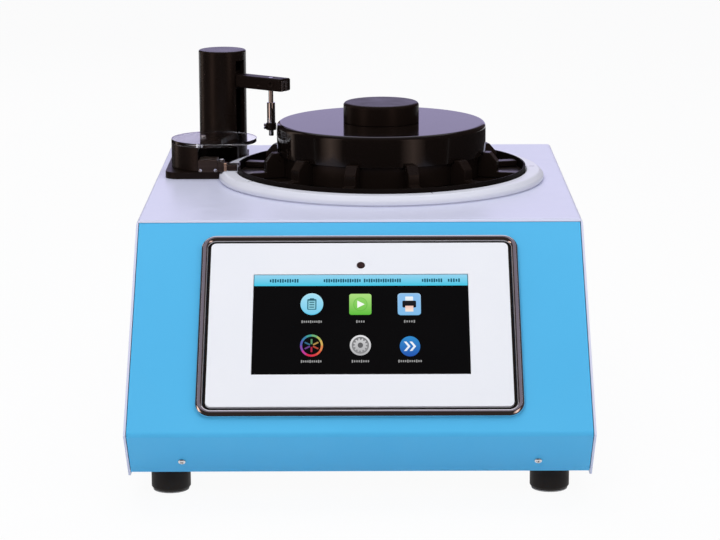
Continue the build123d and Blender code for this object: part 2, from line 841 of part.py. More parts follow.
with BuildPart() as lid_knob:
    with Locations((carousel_x, carousel_y, top_height + cover_rise)):
        Cylinder(knob_radius, knob_height, align=low)
    fillet(lid_knob.edges().group_by(Axis.Z)[-1], knob_edge_radius)
    with Locations((carousel_x, carousel_y, top_height + cover_rise)):
        Cylinder(large_shank + shaft_fit, knob_screw_depth, align=low, mode=Mode.SUBTRACT)
lid_knob.part.label = "lid_knob"
export_step(lid_knob.part, "parts/lid_knob.step")

knob_screw_level = cover_boss_low + large_head_height + 0.5
knob_screw_plane = Plane(
    origin=(carousel_x, carousel_y, top_height + knob_screw_level), x_dir=(1, 0, 0), z_dir=(0, 0, -1)
)
with BuildPart() as knob_screw:
    with Locations(knob_screw_plane):
        add(
            make_screw(
                large_head,
                large_head_height,
                large_shank,
                cover_rise - knob_screw_level + knob_screw_depth - 0.5,
            )
        )
knob_screw.part.label = "knob_screw"
export_step(knob_screw.part, "parts/knob_screw.step")

housing_top = -sheet
housing_bottom = housing_top - housing_depth
pulley_height = belt_width + 2 * pulley_flange + 2 * pulley_clearance
pulley_top = housing_bottom - pulley_below_housing
spindle_bottom = pulley_top - pulley_height - 2

with BuildPart() as bearing_housing:
    with Locations((carousel_x, carousel_y, top_height + housing_top)):
        Cylinder(housing_flange_radius, housing_flange, align=high)
        Cylinder(bearing_radius + housing_wall, housing_depth, align=high)
    with Locations((carousel_x, carousel_y, top_height)):
        Cylinder(spindle_radius + 2, housing_depth * 3, mode=Mode.SUBTRACT)
    with Locations((carousel_x, carousel_y, top_height + housing_top)):
        Cylinder(bearing_radius, bearing_width, align=high, mode=Mode.SUBTRACT)
    with Locations((carousel_x, carousel_y, top_height + housing_bottom)):
        Cylinder(bearing_radius, bearing_width, align=low, mode=Mode.SUBTRACT)
    with Locations((carousel_x, carousel_y, top_height + housing_top)):
        with PolarLocations(floor_screw_circle, 4, start_angle=45):
            Cylinder(small_shank + shaft_fit, housing_flange * 3, mode=Mode.SUBTRACT)
bearing_housing.part.label = "bearing_housing"
export_step(bearing_housing.part, "parts/bearing_housing.step")

with BuildPart() as spindle_bearings:
    for level in (housing_top - bearing_width, housing_bottom):
        with BuildSketch(Plane.XY.offset(top_height + level)):
            with Locations(carousel_centre):
                Circle(bearing_radius - 0.02)
                Circle(spindle_radius + shaft_fit, mode=Mode.SUBTRACT)
        extrude(amount=bearing_width)
spindle_bearings.part.label = "spindle_bearings"
export_step(spindle_bearings.part, "parts/spindle_bearings.step")

floor_screw_length = floor_thickness + sheet + housing_flange
with BuildPart() as floor_screws:
    with Locations((carousel_x, carousel_y, top_height + floor_thickness)):
        with PolarLocations(floor_screw_circle, 4, start_angle=45):
            add(make_screw(small_head, small_head_height, small_shank, floor_screw_length))
floor_screws.part.label = "floor_screws"
export_step(floor_screws.part, "parts/floor_screws.step")

with BuildPart() as drive_spindle:
    with Locations((carousel_x, carousel_y, top_height + boss_top)):
        Cylinder(spindle_radius, boss_top - spindle_bottom, align=high)
    chamfer(drive_spindle.edges().group_by(Axis.Z)[0], 1)
drive_spindle.part.label = "drive_spindle"
export_step(drive_spindle.part, "parts/drive_spindle.step")


def toothed_pulley(teeth, bore):
    # A pulley standing on Z = 0 between two flanges; bore is 0 where the shaft is part of it.
    radius = teeth * tooth_pitch / (2 * pi)
    with BuildPart() as pulley:
        Cylinder(radius, pulley_height, align=low)
        with BuildSketch(Plane.XY.offset(pulley_flange)):
            with PolarLocations(radius, teeth):
                Circle(tooth_pitch * 0.28)
        extrude(amount=pulley_height - 2 * pulley_flange, mode=Mode.SUBTRACT)
        for level in (0, pulley_height - pulley_flange):
            with BuildSketch(Plane.XY.offset(level)):
                Circle(radius + pulley_flange_rise)
            extrude(amount=pulley_flange)
        if bore > 0:
            Cylinder(bore, pulley_height * 3, mode=Mode.SUBTRACT)
    return pulley.part


pulley_low = top_height + pulley_top - pulley_height
driven_radius = driven_teeth * tooth_pitch / (2 * pi)
motor_pulley_radius = motor_teeth * tooth_pitch / (2 * pi)
motor_centre = (carousel_x + belt_centre_distance, carousel_y)

with BuildPart() as driven_pulley:
    with Locations((carousel_x, carousel_y, pulley_low)):
        add(toothed_pulley(driven_teeth, spindle_radius + spindle_fit))
driven_pulley.part.label = "driven_pulley"
export_step(driven_pulley.part, "parts/driven_pulley.step")

shelf_low = pulley_low + pulley_height + pulley_clearance
shaft_reach = pulley_height + pulley_clearance + bracket_thickness
with BuildPart() as motor_pulley:
    with Locations((*motor_centre, pulley_low)):
        add(toothed_pulley(motor_teeth, 0))
        Cylinder(motor_shaft_radius, shaft_reach + motor_length * shaft_share, align=low)
motor_pulley.part.label = "motor_pulley"
export_step(motor_pulley.part, "parts/motor_pulley.step")

with BuildPart() as drive_belt:
    belt_low = pulley_low + pulley_flange + pulley_clearance
    with BuildSketch(Plane.XY.offset(belt_low)):
        with Locations(carousel_centre):
            Circle(driven_radius + belt_gap + belt_thickness)
        with Locations(motor_centre):
            Circle(motor_pulley_radius + belt_gap + belt_thickness)
        make_hull()
    extrude(amount=belt_width)
    with BuildSketch(Plane.XY.offset(belt_low)):
        with Locations(carousel_centre):
            Circle(driven_radius + belt_gap)
        with Locations(motor_centre):
            Circle(motor_pulley_radius + belt_gap)
        make_hull()
    extrude(amount=belt_width, mode=Mode.SUBTRACT)
drive_belt.part.label = "drive_belt"
export_step(drive_belt.part, "parts/drive_belt.step")

motor_face = Plane(origin=(*motor_centre, shelf_low + bracket_thickness), x_dir=(1, 0, 0), z_dir=(0, 0, -1))

shelf_side = motor_side + 2 * bracket_margin
with BuildPart() as motor_bracket:
    with Locations((*motor_centre, shelf_low)):
        Box(shelf_side, shelf_side, bracket_thickness, align=low)
    web_x = motor_centre[0] + shelf_side / 2 - bracket_thickness / 2
    with Locations((web_x, carousel_y, shelf_low)):
        Box(bracket_thickness, shelf_side, underside - shelf_low, align=low)
    with Locations((web_x + flange_width / 2, carousel_y, underside)):
        Box(flange_width + bracket_thickness, shelf_side, bracket_thickness, align=high)
    with Locations((*motor_centre, shelf_low)):
        Cylinder(motor_boss_radius + running_gap, bracket_thickness * 3, mode=Mode.SUBTRACT)
motor_bracket.part.label = "motor_bracket"
export_step(motor_bracket.part, "parts/motor_bracket.step")


# ---------------------------------------------------------------- crushing station
plate_level = top_height + plate_thickness
plate_left_x = carousel_x - plate_left
plate_right_x = column_centre[0] + column_radius + plate_right_margin
plate_front_y = carousel_y - plate_front
plate_back_y = carousel_y + plate_back
housing_centre = (carousel_x - jaw_housing_x, carousel_y + jaw_housing_behind)
recess_left_x = carousel_x - recess_left
jaw_z = top_height + jaw_level
jaw_low = jaw_z - jaw_thickness / 2
upright_x = carousel_x - upright_left
upright_y = carousel_y + upright_behind

with BuildPart() as station_plate:
    with BuildSketch(Plane.XY.offset(top_height)):
        with Locations(((plate_left_x + plate_right_x) / 2, (plate_front_y + plate_back_y) / 2)):
            Rectangle(plate_right_x - plate_left_x, plate_back_y - plate_front_y)
        fillet(vertices().group_by(Axis.X)[0], plate_corner_radius)
        with Locations(carousel_centre):
            Circle(collar_radius + collar_gap, mode=Mode.SUBTRACT)
        with Locations((slot_x, slot_y)):
            Rectangle(jaw_slot_length, jaw_slot_width, mode=Mode.SUBTRACT)
        with Locations(column_centre):
            Circle(lift_hole_radius, mode=Mode.SUBTRACT)
    extrude(amount=plate_thickness)
station_plate.part.label = "station_plate"
export_step(station_plate.part, "parts/station_plate.step")

with BuildPart() as jaw_housing:
    with BuildSketch(Plane.XY.offset(plate_level)):
        with Locations(housing_centre):
            Circle(jaw_housing_radius)
            Circle(jaw_housing_radius - jaw_housing_wall, mode=Mode.SUBTRACT)
    extrude(amount=jaw_housing_height - jaw_housing_top)
    with BuildSketch(Plane.XY.offset(plate_level + jaw_housing_height - jaw_housing_top)):
        with Locations(housing_centre):
            Circle(jaw_housing_radius)
    extrude(amount=jaw_housing_top)
    # the open recess at the front right, and the clearance round the collar
    with BuildSketch(Plane.XY.offset(plate_level)):
        with Locations((recess_left_x, plate_front_y)):
            Rectangle(4 * jaw_housing_radius, 2 * recess_depth, align=(Align.MIN, Align.CENTER))
        with Locations(carousel_centre):
            Circle(collar_radius + collar_gap)
    extrude(amount=jaw_housing_height, mode=Mode.SUBTRACT)
jaw_housing.part.label = "jaw_housing"
export_step(jaw_housing.part, "parts/jaw_housing.step")

guide_right_x = carousel_x - guide_right
guide_length = guide_right_x - recess_left_x
channel_width = jaw_neck_width + 2 * jaw_fit
channel_height = jaw_thickness + 2 * jaw_fit
guide_face = Plane(origin=(recess_left_x, plate_front_y, plate_level), x_dir=(1, 0, 0), z_dir=(0, -1, 0))
guide_screw_places = [
    (guide_screw_inset, guide_screw_inset),
    (guide_length - guide_screw_inset, guide_screw_inset),
]
with BuildPart() as jaw_guide:
    with BuildSketch(Plane.XY.offset(plate_level)):
        with Locations((recess_left_x, plate_front_y)):
            Rectangle(guide_length, guide_depth, align=(Align.MIN, Align.MIN))
    extrude(amount=guide_height)
    chamfer(jaw_guide.edges().group_by(Axis.Z)[-1], 0.6)
    with BuildSketch(guide_face):
        with Locations(*guide_screw_places):
            Circle(guide_screw_shank + shaft_fit)
    extrude(amount=-guide_screw_height - shaft_fit, mode=Mode.SUBTRACT)
    # open below and behind, where the ram passes
    with Locations((recess_left_x, carousel_y - channel_width / 2, jaw_z + channel_height / 2)):
        Box(
            guide_length * 3,
            guide_depth * 3,
            guide_height * 3,
            align=(Align.CENTER, Align.MIN, Align.MAX),
            mode=Mode.SUBTRACT,
        )
jaw_guide.part.label = "jaw_guide"
export_step(jaw_guide.part, "parts/jaw_guide.step")

with BuildPart() as jaw_bush:
    with Locations((guide_right_x, carousel_y, plate_level)):
        Box(
            bush_length,
            channel_width + 2 * bush_rim,
            channel_height + 2 * bush_rim,
            align=(Align.MIN, Align.CENTER, Align.MIN),
        )
    # open behind, where the broad end of the ram passes
    with Locations((guide_right_x, carousel_y - channel_width / 2, jaw_z)):
        Box(
            bush_length * 3,
            channel_width * 2,
            channel_height,
            align=(Align.CENTER, Align.MIN, Align.CENTER),
            mode=Mode.SUBTRACT,
        )
jaw_bush.part.label = "jaw_bush"
export_step(jaw_bush.part, "parts/jaw_bush.step")

guard_level = plate_level + jaw_housing_height
guard_screw_place = (housing_centre[0] - guard_screw_left, housing_centre[1] + guard_screw_back)
with BuildPart() as guard_disc:
    with BuildSketch(Plane.XY.offset(guard_level)):
        with Locations(housing_centre):
            Circle(jaw_housing_radius)
        with Locations(guard_screw_place):
            Circle(small_shank + screw_clearance, mode=Mode.SUBTRACT)
    extrude(amount=guard_thickness)
    chamfer(guard_disc.edges().group_by(Axis.Z)[-1], 0.4)
guard_disc.part.label = "guard_disc"
export_step(guard_disc.part, "parts/guard_disc.step")

with BuildPart() as station_screws:
    with Locations(guide_face):
        with Locations(*guide_screw_places):
            add(make_slotted(guide_screw_head, guide_screw_height, guide_screw_shank, guide_screw_height))
    with Locations((*guard_screw_place, guard_level + guard_thickness)):
        add(make_slotted(small_head, small_head_height, small_shank, guard_thickness))
station_screws.part.label = "station_screws"
export_step(station_screws.part, "parts/station_screws.step")

# the jaw: a flat ram with a broad end on the upright, a narrow neck and a head with a hard face
jaw_tip_x = carousel_x - vane_reach - jaw_rest_gap
jaw_head_x = jaw_tip_x - jaw_face_length - jaw_head_length
ram_right_x = upright_x + upright_length + ram_plate_margin
ram_shoulder_x = upright_x + upright_length + ram_shoulder_margin
with BuildPart() as jaw_ram:
    with BuildSketch(Plane.XY.offset(jaw_low)):
        with BuildLine():
            Polyline(
                (jaw_head_x, carousel_y - jaw_neck_width / 2),
                (jaw_head_x, carousel_y + jaw_neck_width / 2),
                (ram_right_x + jaw_neck_width, carousel_y + jaw_neck_width / 2),
                (ram_right_x, carousel_y + jaw_neck_width),
                (ram_right_x, carousel_y + ram_shoulder_side),
                (ram_shoulder_x, carousel_y + ram_shoulder_side),
                (ram_shoulder_x, upright_y + upright_width / 2),
                (upright_x, upright_y + upright_width / 2),
                (upright_x, upright_y - upright_width / 2),
                (ram_right_x + jaw_neck_width * 1.2, carousel_y - jaw_neck_width / 2),
                close=True,
            )
        make_face()
    extrude(amount=jaw_thickness)
    with Locations((upright_x + upright_length / 2, upright_y, jaw_low + jaw_thickness)):
        Box(upright_length, upright_width, jaw_level + drive_drop - carriage_height / 2, align=high)
    with Locations((jaw_head_x, carousel_y, jaw_z)):
        Box(jaw_head_length, jaw_head_width, jaw_thickness, align=(Align.MIN, Align.CENTER, Align.CENTER))
jaw_ram.part.label = "jaw_ram"
export_step(jaw_ram.part, "parts/jaw_ram.step")

with BuildPart() as jaw_face:
    with Locations((jaw_tip_x, carousel_y, jaw_z)):
        Box(jaw_face_length, jaw_head_width, jaw_thickness, align=(Align.MAX, Align.CENTER, Align.CENTER))
jaw_face.part.label = "jaw_face"
export_step(jaw_face.part, "parts/jaw_face.step")


# ---------------------------------------------------------------- jaw drive
drive_z = top_height - drive_drop - carriage_height
upright_low = jaw_low + jaw_thickness - (jaw_level + drive_drop - carriage_height / 2)
carriage_top = upright_low
carriage_x = upright_x - 1
drive_axis_z = carriage_top - carriage_height / 2
frame_left_x = carriage_x - drive_margin - drive_plate
frame_right_x = carriage_x + carriage_length + jaw_travel + drive_margin
frame_low = carriage_top - carriage_height - drive_margin - drive_plate

with BuildPart() as jaw_carriage:
    with Locations((carriage_x, upright_y, carriage_top)):
        Box(carriage_length, drive_width, carriage_height, align=(Align.MIN, Align.CENTER, Align.MAX))
    # the lug that holds the load cell
    lug_x = upright_x + upright_length + load_cell_length
    with Locations((lug_x, upright_y, carriage_top)):
        Box(
            carriage_x + carriage_length - lug_x,
            upright_width,
            load_cell_height,
            align=(Align.MIN, Align.CENTER, Align.MIN),
        )
    rod_plane = Plane(origin=(carriage_x, upright_y, drive_axis_z), x_dir=(0, 1, 0), z_dir=(1, 0, 0))
    with BuildSketch(rod_plane):
        Circle(screw_radius + rod_fit)
        with GridLocations(rod_pitch, 1, 2, 1):
            Circle(rod_radius + rod_fit)
    extrude(amount=carriage_length, mode=Mode.SUBTRACT)
jaw_carriage.part.label = "jaw_carriage"
export_step(jaw_carriage.part, "parts/jaw_carriage.step")

with BuildPart() as load_cell:
    with Locations((upright_x + upright_length, upright_y, carriage_top)):
        Box(
            load_cell_length,
            load_cell_width,
            load_cell_height,
            align=(Align.MIN, Align.CENTER, Align.MIN),
        )
    # the two slots that let the cell bend
    cell_middle_x = upright_x + upright_length + load_cell_length / 2
    for share in (0.32, 0.68):
        with Locations((cell_middle_x, upright_y, carriage_top + load_cell_height * share)):
            Box(load_cell_length * 0.6, upright_width, load_cell_slot, mode=Mode.SUBTRACT)
load_cell.part.label = "load_cell"
export_step(load_cell.part, "parts/load_cell.step")

frame_length = frame_right_x - frame_left_x + drive_plate
drive_left = Plane(origin=(frame_left_x, upright_y, drive_axis_z), x_dir=(0, 1, 0), z_dir=(1, 0, 0))
drive_right = Plane(origin=(frame_right_x, upright_y, drive_axis_z), x_dir=(0, 1, 0), z_dir=(1, 0, 0))
with BuildPart() as jaw_drive_frame:
    with Locations((frame_left_x, upright_y, frame_low)):
        Box(frame_length, drive_width, drive_plate, align=(Align.MIN, Align.CENTER, Align.MIN))
        Box(drive_plate, drive_width, underside - frame_low, align=(Align.MIN, Align.CENTER, Align.MIN))
    with Locations((frame_right_x, upright_y, frame_low)):
        Box(drive_plate, drive_width, underside - frame_low, align=(Align.MIN, Align.CENTER, Align.MIN))
    with Locations((frame_right_x, upright_y, drive_axis_z)):
        Cylinder(
            motor_boss_radius + running_gap, drive_plate * 3, rotation=(0, 90, 0), mode=Mode.SUBTRACT
        )
    with Locations((frame_left_x, upright_y, drive_axis_z)):
        Cylinder(screw_radius + rod_fit, drive_plate * 3, rotation=(0, 90, 0), mode=Mode.SUBTRACT)
    for end_face in (drive_left, drive_right):
        with BuildSketch(end_face):
            with GridLocations(rod_pitch, 1, 2, 1):
                Circle(rod_radius)
        extrude(amount=drive_plate, mode=Mode.SUBTRACT)
jaw_drive_frame.part.label = "jaw_drive_frame"
export_step(jaw_drive_frame.part, "parts/jaw_drive_frame.step")

jaw_motor_plane = Plane(
    origin=(frame_right_x + drive_plate, upright_y, drive_axis_z), x_dir=(0, 1, 0), z_dir=(-1, 0, 0)
)
with BuildPart() as drive_motors:
    with Locations(motor_face):
        add(make_motor(motor_side, motor_length, motor_boss_radius, motor_shaft_radius))
    with Locations(jaw_motor_plane):
        add(make_motor(motor_side, motor_length, motor_boss_radius, motor_shaft_radius))
drive_motors.part.label = "drive_motors"
export_step(drive_motors.part, "parts/drive_motors.step")

with BuildPart() as jaw_lead_screw:
    with BuildSketch(drive_left):
        Circle(screw_radius)
    extrude(amount=frame_length - motor_boss_height - drive_plate - running_gap)
    with BuildSketch(drive_right.offset(-drive_plate)):
        Circle(motor_shaft_radius)
    extrude(amount=2 * drive_plate + motor_length * shaft_share)
jaw_lead_screw.part.label = "jaw_lead_screw"
export_step(jaw_lead_screw.part, "parts/jaw_lead_screw.step")


# ---------------------------------------------------------------- thickness gauge
probe_angle = 180 - (probe_station - 3) * station_angle
probe_x = carousel_x + probe_pitch_radius * cos(radians(probe_angle))
probe_y = carousel_y + probe_pitch_radius * sin(radians(probe_angle))
arm_angle = degrees(atan2(probe_y - column_centre[1], probe_x - column_centre[0]))
arm_reach = hypot(probe_x - column_centre[0], probe_y - column_centre[1])
column_frame = Plane(
    origin=(*column_centre, top_height),
    x_dir=(cos(radians(arm_angle)), sin(radians(arm_angle)), 0),
    z_dir=(0, 0, 1),
)
column_bore = column_radius - column_wall
slot_high_rise = arm_high_rise + arm_climb + slot_end_gap

with BuildPart() as column:
    with BuildSketch(column_frame.offset(plate_thickness)):
        Circle(column_radius)
        Circle(column_bore, mode=Mode.SUBTRACT)
    extrude(amount=column_rise - cap_thickness - plate_thickness)
    with BuildSketch(column_frame.offset(slot_low_rise)):
        with Locations((column_radius, 0)):
            Rectangle(2 * column_wall + column_radius, slot_width)
    extrude(amount=slot_high_rise - slot_low_rise, mode=Mode.SUBTRACT)
column.part.label = "column"
export_step(column.part, "parts/column.step")

with BuildPart() as column_cap:
    with BuildSketch(column_frame.offset(column_rise - cap_thickness)):
        Circle(column_radius)
    extrude(amount=cap_thickness)
    fillet(column_cap.edges().group_by(Axis.Z)[-1], cap_edge_radius)
    with BuildSketch(column_frame.offset(column_rise - cap_thickness)):
        Circle(column_bore - cap_gap)
    extrude(amount=-cap_plug)
column_cap.part.label = "column_cap"
export_step(column_cap.part, "parts/column_cap.step")

arm_height = arm_high_rise - arm_low_rise
arm_length = arm_reach + arm_overhang - column_radius - arm_gap
slider_radius = column_bore - slider_gap
arm_middle_rise = (arm_low_rise + arm_high_rise) / 2
clamp_reach = arm_reach + stem_radius + small_shank + clamp_margin
clamp_plane = Plane(
    origin=column_frame.from_local_coords((clamp_reach, -arm_width / 2, arm_middle_rise)),
    x_dir=column_frame.x_dir,
    z_dir=-column_frame.y_dir,
)
with BuildPart() as arm:
    with BuildSketch(column_frame.offset(arm_low_rise)):
        with Locations((column_radius + arm_gap, 0)):
            Rectangle(arm_length, arm_width, align=(Align.MIN, Align.CENTER))
    extrude(amount=arm_height)
    chamfer(arm.edges().filter_by(Axis.Z, reverse=True), arm_edge)
    with BuildSketch(column_frame.offset(arm_low_rise)):
        with Locations((slider_radius * 0.6, 0)):
            Rectangle(column_radius, slot_width - 2 * arm_neck_gap, align=(Align.MIN, Align.CENTER))
    extrude(amount=arm_height)
    with BuildSketch(column_frame.offset(arm_middle_rise - slider_height / 2)):
        Circle(slider_radius)
    extrude(amount=slider_height)
    with BuildSketch(column_frame.offset(arm_low_rise - slider_height)):
        Circle(lift_screw_radius + rod_fit)
        with Locations((-lift_rod_offset, 0)):
            Circle(lift_rod_radius + rod_fit)
        with Locations((arm_reach, 0)):
            Circle(stem_radius + spindle_fit)
            Rectangle(arm_overhang * 2, arm_slit, align=(Align.MIN, Align.CENTER))
    extrude(amount=slider_height * 3, mode=Mode.SUBTRACT)
    with BuildSketch(clamp_plane):
        Circle(small_shank + shaft_fit)
    extrude(amount=-arm_width, mode=Mode.SUBTRACT)
arm.part.label = "arm"
export_step(arm.part, "parts/arm.step")

motor_top = -sheet
lift_screw_high = slot_high_rise + pulley_clearance
with BuildPart() as lift_motor:
    with Locations(column_frame.offset(motor_top)):
        add(make_motor(lift_motor_side, lift_motor_length, lift_screw_radius * 2, motor_shaft_radius))
lift_motor.part.label = "lift_motor"
export_step(lift_motor.part, "parts/lift_motor.step")

with BuildPart() as guide_rods:
    with BuildSketch(drive_left):
        with GridLocations(rod_pitch, 1, 2, 1):
            Circle(rod_radius)
    extrude(amount=frame_length)
    with BuildSketch(column_frame.offset(motor_top)):
        with Locations((-lift_rod_offset, 0)):
            Circle(lift_rod_radius)
    extrude(amount=lift_screw_high - motor_top)
guide_rods.part.label = "guide_rods"
export_step(guide_rods.part, "parts/guide_rods.step")

with BuildPart() as lift_screw:
    lift_screw_low = motor_top + motor_boss_height + pulley_clearance
    with BuildSketch(column_frame.offset(lift_screw_low)):
        Circle(lift_screw_radius)
    extrude(amount=lift_screw_high - lift_screw_low)
    with BuildSketch(column_frame.offset(motor_top - lift_motor_length * shaft_share)):
        Circle(motor_shaft_radius)
    extrude(amount=lift_motor_length * shaft_share + motor_boss_height + 2 * pulley_clearance)
lift_screw.part.label = "lift_screw"
export_step(lift_screw.part, "parts/lift_screw.step")

probe_frame = Plane(origin=(probe_x, probe_y, top_height), x_dir=column_frame.x_dir, z_dir=(0, 0, 1))
plunger_bore = probe_tip_radius + plunger_fit
plunger_top = probe_tip_rise + plunger_length
bore_top = plunger_top + plunger_travel + spring_solid
with BuildPart() as probe_barrel:
    with BuildSketch(probe_frame.offset(probe_collar_high_rise)):
        Circle(barrel_radius)
    extrude(amount=barrel_high_rise - probe_collar_high_rise)
    chamfer(probe_barrel.edges().group_by(Axis.Z)[-1], 0.5)
    with BuildSketch(probe_frame.offset(barrel_high_rise)):
        Circle(stem_radius)
    extrude(amount=arm_high_rise - barrel_high_rise)
    with BuildSketch(probe_frame.offset(probe_collar_high_rise)):
        Circle(plunger_bore)
    extrude(amount=bore_top - probe_collar_high_rise, mode=Mode.SUBTRACT)
probe_barrel.part.label = "probe_barrel"
export_step(probe_barrel.part, "parts/probe_barrel.step")

probe_screw_rise = (probe_collar_low_rise + probe_collar_high_rise) / 2
probe_screw_plane = Plane(
    origin=(probe_x - probe_collar_radius, probe_y, top_height + probe_screw_rise),
    x_dir=(0, 1, 0),
    z_dir=(-1, 0, 0),
)
with BuildPart() as probe_collar:
    with BuildSketch(probe_frame.offset(probe_collar_low_rise)):
        Circle(probe_collar_radius)
    extrude(amount=probe_collar_high_rise - probe_collar_low_rise)
    chamfer(probe_collar.edges().filter_by(GeomType.CIRCLE), 0.4)
    with BuildSketch(probe_frame.offset(probe_collar_low_rise)):
        Circle(plunger_bore)
    extrude(amount=probe_collar_high_rise - probe_collar_low_rise, mode=Mode.SUBTRACT)
    with BuildSketch(probe_screw_plane):
        Circle(probe_screw_shank + shaft_fit)
    extrude(amount=-probe_collar_radius, mode=Mode.SUBTRACT)
probe_collar.part.label = "probe_collar"
export_step(probe_collar.part, "parts/probe_collar.step")

with BuildPart() as probe_plunger:
    with BuildSketch(probe_frame.offset(probe_tip_rise)):
        Circle(probe_tip_radius)
    extrude(amount=plunger_length)
    fillet(probe_plunger.edges().group_by(Axis.Z)[0], 0.6)
probe_plunger.part.label = "probe_plunger"
export_step(probe_plunger.part, "parts/probe_plunger.step")

with BuildPart() as probe_spring:
    with BuildSketch(probe_frame.offset(plunger_top)):
        Circle(spring_radius)
        Circle(spring_radius - spring_wall, mode=Mode.SUBTRACT)
    extrude(amount=bore_top - plunger_top)
probe_spring.part.label = "probe_spring"
export_step(probe_spring.part, "parts/probe_spring.step")

with BuildPart() as gauge_screws:
    with Locations(clamp_plane):
        add(make_slotted(small_head, small_head_height, small_shank, arm_width - 1))
    with Locations(probe_screw_plane):
        add(
            make_slotted(
                probe_screw_head, probe_screw_height, probe_screw_shank, probe_collar_radius - plunger_bore
            )
        )
gauge_screws.part.label = "gauge_screws"
export_step(gauge_screws.part, "parts/gauge_screws.step")


# ---------------------------------------------------------------- rear sockets and power
inlet_plane = Plane(origin=(inlet_x, rear_face_y, inlet_z), x_dir=(-1, 0, 0), z_dir=(0, 1, 0))
with BuildPart() as power_inlet:
    with BuildSketch(inlet_plane):
        RectangleRounded(inlet_flange_width, inlet_height + 4, 4)
        with GridLocations(inlet_screw_pitch, 1, 2, 1):
            Circle(small_shank + screw_clearance, mode=Mode.SUBTRACT)
    extrude(amount=inlet_flange)
    with BuildSketch(inlet_plane):
        Rectangle(inlet_width, inlet_height)
    extrude(amount=-inlet_depth)
    with BuildSketch(inlet_plane.offset(inlet_flange)):
        Rectangle(inlet_width - 2 * inlet_wall, inlet_height - 2 * inlet_wall)
    extrude(amount=-inlet_depth, mode=Mode.SUBTRACT)
    with BuildSketch(inlet_plane.offset(inlet_flange - inlet_depth)):
        with Locations((-blade_pitch, -blade_offset), (0, blade_offset), (blade_pitch, -blade_offset)):
            Rectangle(blade_thickness, blade_width)
    extrude(amount=blade_length)
power_inlet.part.label = "power_inlet"
export_step(power_inlet.part, "parts/power_inlet.step")

switch_plane = Plane(origin=(switch_x, rear_face_y, inlet_z), x_dir=(-1, 0, 0), z_dir=(0, 1, 0))
cavity_width = switch_width - 2 * switch_wall
cavity_height = switch_height - 2 * switch_wall
pivot_y = rear_face_y - pivot_depth
pivot_plane = Plane(origin=(switch_x, pivot_y, inlet_z), x_dir=(0, 1, 0), z_dir=(1, 0, 0))
with BuildPart() as power_switch:
    with BuildSketch(switch_plane):
        RectangleRounded(switch_width + 3, switch_height + 3, 1)
    extrude(amount=switch_rim)
    with BuildSketch(switch_plane):
        Rectangle(switch_width, switch_height)
    extrude(amount=-switch_depth)
    with BuildSketch(switch_plane.offset(switch_rim)):
        Rectangle(cavity_width, cavity_height)
    extrude(amount=-switch_depth, mode=Mode.SUBTRACT)
    with BuildSketch(pivot_plane):
        Circle(pivot_radius + shaft_fit)
    extrude(amount=switch_width, both=True, mode=Mode.SUBTRACT)
power_switch.part.label = "power_switch"
export_step(power_switch.part, "parts/power_switch.step")

# the rocker rests with its lower end pressed in
rocker_plane = Plane(
    origin=pivot_plane.origin,
    x_dir=(0, cos(radians(rocker_tilt)), -sin(radians(rocker_tilt))),
    z_dir=(1, 0, 0),
)
rocker_half = cavity_height / 2 - rocker_end_gap
with BuildPart() as power_rocker:
    with BuildSketch(rocker_plane):
        with BuildLine():
            Polyline(
                (pivot_depth - rocker_crest, 0),
                (pivot_depth + rocker_crest, rocker_half),
                (-pivot_radius, rocker_half - rocker_end_gap / 2),
                (-pivot_radius * 2, 0),
                (-pivot_radius, rocker_end_gap / 2 - rocker_half),
                (pivot_depth + rocker_crest, -rocker_half),
                close=True,
            )
        make_face()
    extrude(amount=cavity_width / 2 - rocker_gap, both=True)
    with BuildSketch(pivot_plane):
        Circle(pivot_radius)
    extrude(amount=switch_width / 2 - rocker_gap, both=True)
power_rocker.part.label = "power_rocker"
export_step(power_rocker.part, "parts/power_rocker.step")


def make_socket(x, width, height):
    # A shell socket behind the rear panel, open to the rear.
    mouth = Plane(origin=(x, rear_face_y, socket_z), x_dir=(-1, 0, 0), z_dir=(0, 1, 0))
    with BuildPart() as socket:
        with BuildSketch(mouth):
            Rectangle(width, height)
        extrude(amount=-socket_depth)
        with BuildSketch(mouth):
            Rectangle(width - 2 * socket_wall, height - 2 * socket_wall)
        extrude(amount=socket_wall - socket_depth, mode=Mode.SUBTRACT)
        # ears that lie against the inside of the panel
        with BuildSketch(mouth.offset(-sheet)):
            Rectangle(width + 4 * socket_wall, height + 4 * socket_wall)
            Rectangle(width, height, mode=Mode.SUBTRACT)
        extrude(amount=-socket_wall)
    return socket.part


with BuildPart() as data_sockets:
    add(make_socket(host_socket_x, host_socket_width, host_socket_height))
    add(make_socket(device_socket_x, device_socket_width, device_socket_height))
data_sockets.part.label = "data_sockets"
export_step(data_sockets.part, "parts/data_sockets.step")

supply_level = tray_top + supply_standoff
with BuildPart() as power_supply:
    with Locations((supply_x, supply_y, supply_level)):
        Box(supply_width, supply_length, board_thickness, align=low)
    with Locations((supply_x, supply_y, tray_top)):
        with GridLocations(supply_width - 2 * standoff_inset, supply_length - 2 * standoff_inset, 2, 2):
            Cylinder(standoff_radius, supply_standoff, align=low)
    with Locations((supply_x, supply_y, supply_level + board_thickness)):
        with Locations((-supply_width * 0.2, 0, 0)):
            Box(supply_width * 0.42, supply_length * 0.3, supply_height * 0.8, align=low)
        with Locations((supply_width * 0.3, 0, 0)):
            Box(supply_width * 0.1, supply_length * 0.8, supply_height, align=low)
        with Locations((-supply_width * 0.25, supply_length * 0.3, 0), (0, supply_length * 0.3, 0)):
            Cylinder(supply_width * 0.12, supply_height * 0.7, align=low)
        with Locations((-supply_width * 0.15, -supply_length * 0.32, 0)):
            Box(supply_width * 0.3, supply_length * 0.16, supply_height * 0.5, align=low)
power_supply.part.label = "power_supply"
export_step(power_supply.part, "parts/power_supply.step")
